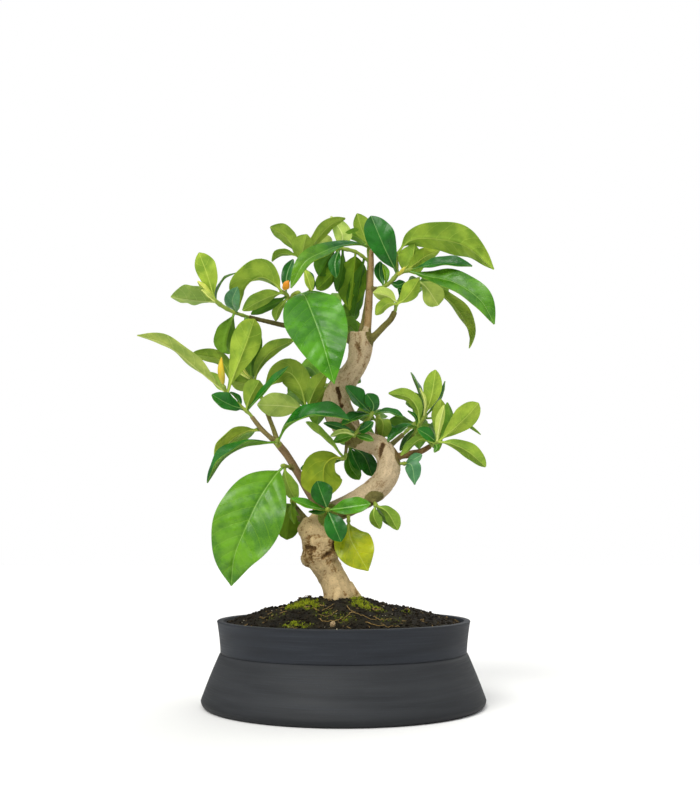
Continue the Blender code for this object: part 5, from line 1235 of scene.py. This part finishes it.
def bark_finish():
    """Pale gnarled bark: dark in its cracks and pits, its own colour there together with painted shade, pale on its
    ridges.
    """
    finish = Finish("bark_skin", IOR=1.45, Specular_IOR_Level=0.22)
    tone_and_shade = finish.node("ShaderNodeAttribute", attribute_name="ToneAndShade").outputs["Fac"]
    grain = finish.noise(900.0, 4.0, 0.65)
    specks = finish.cells(700.0)
    fibre = finish.noise(1.0, 3.0, 0.6, stretch=(420.0, 420.0, 170.0))
    level = finish.math("ADD", tone_and_shade, finish.math("MULTIPLY_ADD", grain, 0.9, -0.45))
    level = finish.math("ADD", level, finish.math("MULTIPLY_ADD", fibre, 0.5, -0.25))
    tint = finish.tint()
    dark = finish.mix(1.0, tint, (0.16, 0.115, 0.075), "MULTIPLY")
    brown = finish.mix(1.0, tint, (0.52, 0.42, 0.30), "MULTIPLY")
    pale = finish.mix(1.0, tint, (1.28, 1.27, 1.26), "MULTIPLY")
    low = finish.mix(finish.span(level, -0.75, -0.28), dark, brown)
    middle = finish.mix(finish.span(level, -0.42, -0.05), low, tint)
    high = finish.mix(finish.span(level, 0.0, 0.42), middle, pale)
    spotted = finish.mix(finish.math("MULTIPLY", finish.span(specks, 0.16, 0.30, 1.0, 0.0), 0.5), high, brown)
    height = finish.math("ADD", finish.math("MULTIPLY", grain, 0.7), finish.math("MULTIPLY", fibre, 0.5))
    height = finish.math("ADD", height, finish.math("MULTIPLY", finish.span(specks, 0.0, 0.4), 0.35))
    return finish.finish(spotted, finish.span(level, -0.5, 0.4, 0.92, 0.74), finish.bump(height, 0.35, 0.8))


TRUNK_VOXEL = 0.62


# Planter
def outer_wall():
    """The planter's outside from rim to foot, as (radius, height) in millimetres."""
    points = []
    for share in np.linspace(1.0, 0.0, 16):
        radius = WAIST_RADIUS + (RIM_RADIUS - WAIST_RADIUS) * share ** 1.4
        points.append((radius, WAIST_HEIGHT + (RIM_HEIGHT - WAIST_HEIGHT) * share))
    seam = [(WAIST_RADIUS - 0.15, WAIST_HEIGHT - 0.25), (WAIST_RADIUS - 0.55, WAIST_HEIGHT - 0.45),
            (WAIST_RADIUS - 0.5, WAIST_HEIGHT - 0.8)]
    points += seam
    for share in np.linspace(0.05, 1.0, 24):
        bulge = 0.5 * share * (1 - share)
        radius = WAIST_RADIUS + (FOOT_RADIUS - WAIST_RADIUS) * (share + 0.25 * bulge)
        points.append((radius, WAIST_HEIGHT + (FOOT_HEIGHT - WAIST_HEIGHT) * share))
    return points


def inner_wall():
    """The planter's inside from rim to floor."""
    points = [(radius - WALL, height) for radius, height in outer_wall() if height > FLOOR + 3]
    return points + [(points[-1][0] - 0.5, FLOOR)]


def foot_arc():
    """The rounded lower edge of the planter."""
    points = []
    for angle in range(10, 91, 10):
        turn = math.radians(angle)
        radius = FOOT_RADIUS - FOOT_ROUND * (1 - math.cos(turn))
        points.append((radius, FOOT_HEIGHT - FOOT_HEIGHT * math.sin(turn)))
    return points


def rim_arc(inner, outer):
    """A softly rounded rim between two radii."""
    points = []
    for angle in range(180, -1, -15):
        turn = math.radians(angle)
        centre = inner + RIM_ROUND if angle > 90 else outer - RIM_ROUND
        points.append((centre + RIM_ROUND * math.cos(turn), RIM_HEIGHT - RIM_ROUND + RIM_ROUND * math.sin(turn)))
    return points


def ring_points(profile, steps):
    """Rings of points for a profile of (radius, height) turned about Z."""
    points = []
    for radius, height in profile:
        for step in range(steps):
            angle = math.tau * step / steps
            points.append(Vector((radius * math.cos(angle), radius * math.sin(angle), height)) * MM)
    return points


def build_planter():
    """The planter, turned finely, with its seam, its rim and its brushed finish."""
    outside = outer_wall()
    inside = inner_wall()
    rim = rim_arc(inside[0][0], outside[0][0])
    outside = [point for point in outside if point[1] < RIM_HEIGHT - RIM_ROUND]
    inside = [point for point in inside if point[1] < RIM_HEIGHT - RIM_ROUND]
    profile = [(0.4, FLOOR)] + inside[::-1] + rim + outside + foot_arc() + [(0.4, 0.0)]
    steps = 192
    points = ring_points(profile, steps)
    faces = grid_faces(len(profile), steps, wrap=True, flip=True)
    body = Body()
    body.add(points, faces, 0, (1.0, 1.0, 1.0))
    dress(body.build("planter_fine", [slate_finish()]), "slate", "planter")


def slate_finish():
    """Matte dark slate with fine streaks round it, bluer above the seam, with painted shade along its foot."""
    finish = Finish("slate_body", IOR=1.45, Specular_IOR_Level=0.3)
    height = finish.node("ShaderNodeSeparateXYZ", {"Vector": finish.where()}).outputs["Z"]
    collar = finish.span(height, (WAIST_HEIGHT - 1.2) * MM, (WAIST_HEIGHT + 0.2) * MM)
    streaks = finish.noise(1.0, 4.0, 0.6, stretch=(26.0, 26.0, 1500.0))
    broad = finish.noise(1.0, 2.0, 0.5, stretch=(14.0, 14.0, 160.0))
    cloud = finish.noise(28.0, 3.0)
    dust = finish.noise(2400.0, 2.0)
    skirt = finish.mix(finish.span(broad, 0.3, 0.7), linear(40, 42, 45), linear(50, 52, 55))
    upper = finish.mix(finish.span(broad, 0.3, 0.7), linear(33, 36, 42), linear(41, 45, 52))
    base = finish.mix(collar, skirt, upper)
    streaked = finish.mix(finish.math("MULTIPLY", finish.span(streaks, 0.45, 0.75), 0.35), base,
                          linear(62, 66, 72))
    clouded = finish.mix(finish.math("MULTIPLY", finish.span(cloud, 0.45, 0.8), 0.25), streaked,
                         linear(30, 32, 35))
    speckled = finish.mix(finish.math("MULTIPLY", finish.span(dust, 0.62, 0.75), 0.22), clouded,
                          linear(80, 82, 86))
    # Painted shade: darker towards the bottom, where the rounded foot turns down to the floor
    foot = finish.span(height, 2.0 * MM, 9.0 * MM, 0.55, 0.0)
    foot_shaded = finish.mix(foot, speckled, linear(20, 21, 23))
    relief = finish.math("ADD", finish.math("MULTIPLY", streaks, 0.8), finish.math("MULTIPLY", dust, 0.4))
    roughness = finish.span(streaks, 0.3, 0.7, 0.56, 0.70)
    return finish.finish(foot_shaded, roughness, finish.bump(relief, 0.10, 0.6))


# Soil
def mound_height(x, y):
    """Height of the soil's surface in millimetres over a point, without its crumbs."""
    radius = math.hypot(x, y)
    height = np.interp(radius, [row[0] for row in MOUND], [row[1] for row in MOUND])
    for bump_x, bump_y, reach, rise in MOUND_BUMPS:
        height += rise * math.exp(-((x - bump_x) ** 2 + (y - bump_y) ** 2) / reach ** 2)
    return height + 0.5 * noise.noise((x / 6, y / 6, 1.7))


def on_soil(x, z):
    """The point (x, y) in millimetres where the sight line over a front place meets the soil."""
    best = None
    for back in np.arange(-76.0, 40.0, 0.5):
        spot = place(x, z, back) / MM
        gap = abs(spot.z - mound_height(spot.x, spot.y))
        if math.hypot(spot.x, spot.y) < 76 and (best is None or gap < best[0]):
            best = (gap, spot.x, spot.y)
            if gap < 0.3:
                break
    return best[1], best[2]


# Moss: (x, z, reach, how dense it is) as seen from the front
MOSS = [(-26.0, 62.0, 8.0, 1.0), (-19.5, 61.0, 5.5, 0.7), (-32.0, 60.4, 6.0, 0.7), (11.5, 62.0, 6.5, 1.0),
        (7.4, 65.6, 4.5, 1.0), (16.0, 60.0, 5.0, 0.7), (-33.0, 49.4, 5.0, 0.8), (-25.0, 49.0, 4.0, 0.4),
        (40.0, 58.0, 3.4, 0.5), (-13.0, 57.0, 7.0, 0.28), (0.0, 54.0, 8.0, 0.24), (24.0, 58.6, 4.0, 0.35),
        (-45.0, 55.0, 7.0, 0.2), (30.0, 52.0, 8.0, 0.15)]


def moss_share(x, y, patches):
    """How mossy the soil is at a point, from 0 to 1."""
    share = 0.0
    for patch_x, patch_y, reach, density in patches:
        away = math.hypot(x - patch_x, y - patch_y)
        share += density * math.exp(-(away / reach) ** 2)
    ragged = 0.5 + 0.9 * noise.noise((x / 3.1, y / 3.1, 5.2))
    return max(0.0, min(1.0, share * ragged * 1.5))


def crumb_height(x, y):
    """How far the soil's crumbs rise over the mound, in millimetres."""
    coarse = noise.voronoi((x / 2.6, y / 2.6, 0.4))[0][0]
    fine = noise.voronoi((x / 1.1, y / 1.1, 2.4))[0][0]
    return 0.9 * (0.45 - coarse) + 0.45 * (0.45 - fine) + 0.55 * noise.noise((x / 3.5, y / 3.5, 8.1))


def build_soil():
    """The crumbly soil that fills the planter, with its moss, crumbs, roots, straw and a pebble."""
    rng = random.Random(11)
    patches = [(*on_soil(x, z), reach, density) for x, z, reach, density in MOSS]
    reach = inner_wall()[0][0] - 0.1
    steps = 400
    radii = np.concatenate((np.linspace(0.4, reach, 96), [reach + 0.2]))
    body = Body()
    points = []
    tints = []
    soil = np.array(linear(37, 34, 28))
    green = np.array(linear(116, 128, 26))
    for ring, radius in enumerate(radii):
        for step in range(steps):
            angle = math.tau * step / steps
            x = radius * math.cos(angle)
            y = radius * math.sin(angle)
            moss = moss_share(x, y, patches)
            edge = min(1.0, (reach - radius) / 2 + 0.25)
            height = mound_height(x, y) + crumb_height(x, y) * edge + moss * 0.5
            points.append(Vector((x, y, height)) * MM)
            dim = 0.75 + 0.6 * rng.random()
            tints.append(tuple(soil * dim * (1 - moss) + green * moss * (0.5 + 0.7 * rng.random())))
    wall = [point for point in inner_wall() if point[1] < 47]
    low = [(radius - 0.1, height) for radius, height in wall] + [(0.4, FLOOR + GAP)]
    points += ring_points(low, steps)
    tints += [tuple(soil)] * (len(low) * steps)
    body.add(points, grid_faces(len(radii) + len(low), steps, wrap=True, flip=True), 0, tints)
    finishes = [soil_finish(), moss_finish()]
    dress(body.build("soil_fine", finishes), "soil", "soil")
    build_crumbs(rng, patches, finishes)
    build_moss(rng, patches, finishes)
    build_litter(rng, patches)


def soil_finish():
    """Damp dark soil."""
    finish = Finish("soil_grains", IOR=1.4, Specular_IOR_Level=0.18)
    grain = finish.noise(1300.0, 5.0, 0.7)
    patches = finish.noise(110.0, 3.0)
    tint = finish.tint()
    mottled = finish.mix(finish.span(patches, 0.35, 0.7), finish.mix(1.0, tint, (0.6, 0.6, 0.62), "MULTIPLY"),
                         finish.mix(1.0, tint, (1.25, 1.2, 1.1), "MULTIPLY"))
    grainy = finish.mix(finish.span(grain, 0.35, 0.7), finish.mix(1.0, mottled, (0.45, 0.45, 0.45), "MULTIPLY"),
                        finish.mix(1.0, mottled, (1.5, 1.45, 1.35), "MULTIPLY"))
    specks = finish.cells(420.0)
    flecked = finish.mix(finish.math("MULTIPLY", finish.span(specks, 0.05, 0.12, 1.0, 0.0), 0.35), grainy,
                         linear(120, 104, 74))
    return finish.finish(flecked, finish.span(grain, 0.3, 0.7, 0.8, 0.98), finish.bump(grain, 0.5, 1.0))


def moss_finish():
    """Yellow-green moss."""
    finish = Finish("moss_tufts", IOR=1.4, Specular_IOR_Level=0.2)
    grain = finish.noise(900.0, 3.0)
    tint = finish.tint()
    colour = finish.mix(finish.span(grain, 0.3, 0.7), finish.mix(1.0, tint, (0.6, 0.66, 0.5), "MULTIPLY"),
                        finish.mix(1.0, tint, (1.3, 1.2, 1.0), "MULTIPLY"))
    return finish.finish(colour, finish.span(grain, 0.3, 0.7, 0.7, 0.9), finish.bump(grain, 0.2, 0.6))


def surface_height(x, y, patches):
    """Height of the finished soil over a point, in millimetres."""
    return mound_height(x, y) + crumb_height(x, y) + moss_share(x, y, patches) * 0.5


def build_crumbs(rng, patches, finishes):
    """Loose crumbs and white specks on the soil."""
    ball = bmesh.new()
    bmesh.ops.create_icosphere(ball, subdivisions=1, radius=1.0)
    shape = [vertex.co.copy() for vertex in ball.verts]
    sides = [tuple(vertex.index for vertex in face.verts) for face in ball.faces]
    ball.free()
    body = Body()
    for number in range(3200):
        radius = 75.0 * math.sqrt(rng.random())
        angle = rng.uniform(0, math.tau)
        x = radius * math.cos(angle)
        y = radius * math.sin(angle)
        if math.hypot(x - PLUG_CENTRE[0], y) < PLUG_RADIUS:
            continue
        size = rng.uniform(0.35, 0.9) if number % 9 else rng.uniform(0.9, 1.6)
        pale = rng.random()
        tint = linear(44, 39, 31)
        if pale > 0.985:
            size = rng.uniform(0.35, 0.6)
            tint = linear(196, 190, 172)
        elif pale > 0.93:
            tint = linear(94, 80, 56)
        shade = rng.uniform(0.6, 1.4)
        tint = tuple(channel * shade for channel in tint)
        centre = Vector((x, y, surface_height(x, y, patches) + size * 0.2))
        stretch = Vector((rng.uniform(0.7, 1.3), rng.uniform(0.7, 1.3), rng.uniform(0.5, 0.9)))
        spin = rng.uniform(0, math.tau)
        points = []
        for corner in shape:
            jag = size * rng.uniform(0.75, 1.15)
            a = corner.x * stretch.x * jag
            b = corner.y * stretch.y * jag
            turned = Vector((a * math.cos(spin) - b * math.sin(spin), a * math.sin(spin) + b * math.cos(spin),
                             corner.z * stretch.z * jag))
            points.append((centre + turned) * MM)
        body.add(points, sides, 0, tint)
    dress(body.build("soil_crumbs", finishes), "soil")


def build_moss(rng, patches, finishes):
    """Tufts of moss: small leaning points, dense in the patches."""
    body = Body()
    for patch_x, patch_y, reach, density in patches:
        for number in range(int(16 * reach ** 2 * density ** 0.6 * 0.9)):
            away = reach * 1.25 * math.sqrt(rng.random())
            angle = rng.uniform(0, math.tau)
            x = patch_x + away * math.cos(angle)
            y = patch_y + away * math.sin(angle)
            share = moss_share(x, y, patches)
            if math.hypot(x, y) > 75.5 or rng.random() > share * 1.3:
                continue
            if math.hypot(x - PLUG_CENTRE[0], y) < PLUG_RADIUS - 2:
                continue
            tall = rng.uniform(0.7, 1.7) * (0.5 + 0.6 * share)
            wide = rng.uniform(0.25, 0.5)
            base = Vector((x, y, surface_height(x, y, patches) - 0.3))
            lean = Vector((rng.uniform(-0.5, 0.5), rng.uniform(-0.5, 0.5), 1.0)).normalized()
            turn = rng.uniform(0, math.tau)
            points = []
            for corner in range(4):
                spin = turn + math.tau * corner / 4
                points.append((base + Vector((math.cos(spin), math.sin(spin), 0)) * wide) * MM)
            middle = base + lean * tall * 0.6
            for corner in range(4):
                spin = turn + math.tau * corner / 4
                points.append((middle + Vector((math.cos(spin), math.sin(spin), 0)) * wide * 0.8) * MM)
            points.append((base + lean * (tall + 0.3)) * MM)
            faces = grid_faces(2, 4, wrap=True) + [(4 + corner, 4 + (corner + 1) % 4, 8) for corner in range(4)]
            bright = rng.uniform(0.5, 1.25) * (0.6 + 0.5 * share)
            tint = tuple(channel * bright for channel in linear(134, 146, 30))
            body.add(points, faces, 1, tint)
    dress(body.build("soil_moss", finishes), "soil")


# Fine roots and straw on the soil: front places along each, with its radius
ROOTLETS = [
    (0.35, [(-16.0, 52.6), (-11.0, 50.6), (-5.0, 51.2), (-1.0, 53.6)]),
    (0.30, [(-20.0, 59.0), (-15.0, 57.4), (-10.0, 59.8), (-6.0, 62.0)]),
    (0.28, [(2.0, 60.5), (6.0, 57.0), (12.0, 54.4), (21.0, 51.4)]),
    (0.30, [(14.0, 50.2), (20.0, 48.6), (28.0, 48.0), (36.0, 47.4)]),
    (0.26, [(-4.0, 58.0), (-8.0, 54.6), (-12.0, 54.0), (-17.0, 55.6)]),
    (0.25, [(4.0, 56.4), (1.0, 53.0), (-3.0, 52.0)]),
    (0.28, [(19.0, 53.8), (24.0, 52.0), (31.0, 52.6)]),
]


def build_litter(rng, patches):
    """Pale rootlets, straw bits, and a small pale pebble at the front."""
    finish = Finish("litter", IOR=1.4, Specular_IOR_Level=0.25)
    grain = finish.noise(1500.0, 3.0)
    colour = finish.mix(finish.span(grain, 0.3, 0.7), finish.mix(1.0, finish.tint(), (0.55, 0.5, 0.42), "MULTIPLY"),
                        finish.mix(1.0, finish.tint(), (1.15, 1.12, 1.05), "MULTIPLY"))
    dry = finish.finish(colour, finish.span(grain, 0.3, 0.7, 0.6, 0.85), finish.bump(grain, 0.15, 0.6))
    body = Body()

    def lay(spots, radius, tint):
        """Lay a thin strand over points of the soil."""
        rows = smooth([(x, y, 0.0, radius) for x, y in spots], 16)
        for index, row in enumerate(rows):
            taper = 1.0 - 0.5 * index / len(rows)
            lift = surface_height(row[0], row[1], patches) + radius + 0.5 * abs(math.sin(index * 0.9 + radius))
            rows[index] = (row[0] * MM, row[1] * MM, lift * MM, radius * taper * MM)
        body.add(tube_points(rows, 6), tube_faces(len(rows), 6), 0, tint)

    for radius, route in ROOTLETS:
        lay([on_soil(x, z) for x, z in route], radius, linear(150, 126, 78))
    for number in range(70):
        away = 74.0 * math.sqrt(rng.random())
        angle = rng.uniform(0, math.tau)
        x = away * math.cos(angle)
        y = away * math.sin(angle)
        if math.hypot(x - PLUG_CENTRE[0], y) < PLUG_RADIUS + 2:
            continue
        turn = rng.uniform(0, math.tau)
        size = rng.uniform(1.5, 5.0)
        bend = rng.uniform(-0.3, 0.3) * size
        middle = (x + 0.5 * size * math.cos(turn) - bend * math.sin(turn),
                  y + 0.5 * size * math.sin(turn) + bend * math.cos(turn))
        end = (x + size * math.cos(turn), y + size * math.sin(turn))
        if math.hypot(*end) > 75 or math.hypot(*middle) > 75:
            continue
        bright = rng.uniform(0.5, 1.1)
        lay([(x, y), middle, end], rng.uniform(0.18, 0.38), tuple(c * bright for c in linear(166, 140, 92)))
    x, y = on_soil(-7.0, 48.4)
    ball = bmesh.new()
    bmesh.ops.create_icosphere(ball, subdivisions=3, radius=1.0)
    centre = Vector((x, y, surface_height(x, y, patches) + 1.2))
    stone = []
    for vertex in ball.verts:
        jag = 1 + 0.18 * noise.noise(vertex.co * 1.7)
        stone.append((centre + Vector((vertex.co.x * 1.7, vertex.co.y * 1.5, vertex.co.z * 2.0)) * jag) * MM)
    body.add(stone, [tuple(v.index for v in face.verts) for face in ball.faces], 0, linear(176, 154, 122))
    ball.free()
    dress(body.build("soil_litter", [dry]), "soil")


# Camera, light and floor
# Lamps: name, direction the light comes from, how wide it looks in degrees, strength and colour
LAMPS = [
    ("overhead", (0.0, 0.1, 1.0), 140, 1.9, (1.0, 1.0, 1.0)),
    ("key", (-0.5, -0.8, 0.95), 34, 2.1, (1.0, 0.99, 0.95)),
    ("fill", (0.8, -0.9, 0.35), 100, 0.35, (0.97, 0.99, 1.0)),
    ("back", (0.5, 0.75, 0.7), 60, 0.9, (1.0, 1.0, 0.96)),
    ("low", (0.0, -1.0, -0.15), 120, 0.22, (1.0, 1.0, 1.0)),
]


def build_stage():
    """The plain pale floor, the soft studio light and the camera."""
    mesh = bpy.data.meshes.new("floor")
    size = 4.0
    mesh.from_pydata([(-size, -size, 0), (size, -size, 0), (size, size, 0), (-size, size, 0)], [], [(0, 1, 2, 3)])
    floor = new_object("floor", mesh)
    finish = Finish("floor_pale", Specular_IOR_Level=0.1)
    soft = finish.noise(3.0, 2.0)
    colour = finish.mix(soft, (0.90, 0.90, 0.90), (0.93, 0.93, 0.93))
    mesh.materials.append(finish.finish(colour, finish.span(soft, 0.2, 0.8, 0.85, 0.95),
                                        finish.bump(finish.noise(400.0), 0.02, 0.2)))

    world = bpy.data.worlds.new("studio")
    bpy.context.scene.world = world
    world.use_nodes = True
    sky = world.node_tree.nodes["Background"]
    sky.inputs["Color"].default_value = (1.0, 1.0, 1.0, 1.0)
    sky.inputs["Strength"].default_value = 1.0
    world.cycles_visibility.diffuse = False
    world.cycles_visibility.glossy = False

    for name, source, spread, strength, colour in LAMPS:
        light = bpy.data.lights.new(name, "SUN")
        light.angle = math.radians(spread)
        light.energy = strength
        light.color = colour
        item = bpy.data.objects.new(name, light)
        item.rotation_euler = Vector(source).to_track_quat("Z", "Y").to_euler()
        bpy.context.scene.collection.objects.link(item)

    camera = bpy.data.cameras.new("camera")
    camera.sensor_width = 36.0
    camera.lens = 45.0
    camera.clip_start = 0.01
    item = bpy.data.objects.new("camera", camera)
    item.location = Vector(EYE) * MM
    item.rotation_euler = (math.radians(90.0 + 8.2), 0.0, 0.0)
    bpy.context.scene.collection.objects.link(item)
    bpy.context.scene.camera = item
    bpy.context.scene.view_settings.view_transform = "Standard"


build_stage()
build_planter()
build_soil()
build_trunk()
build_sprays()
build_buds()
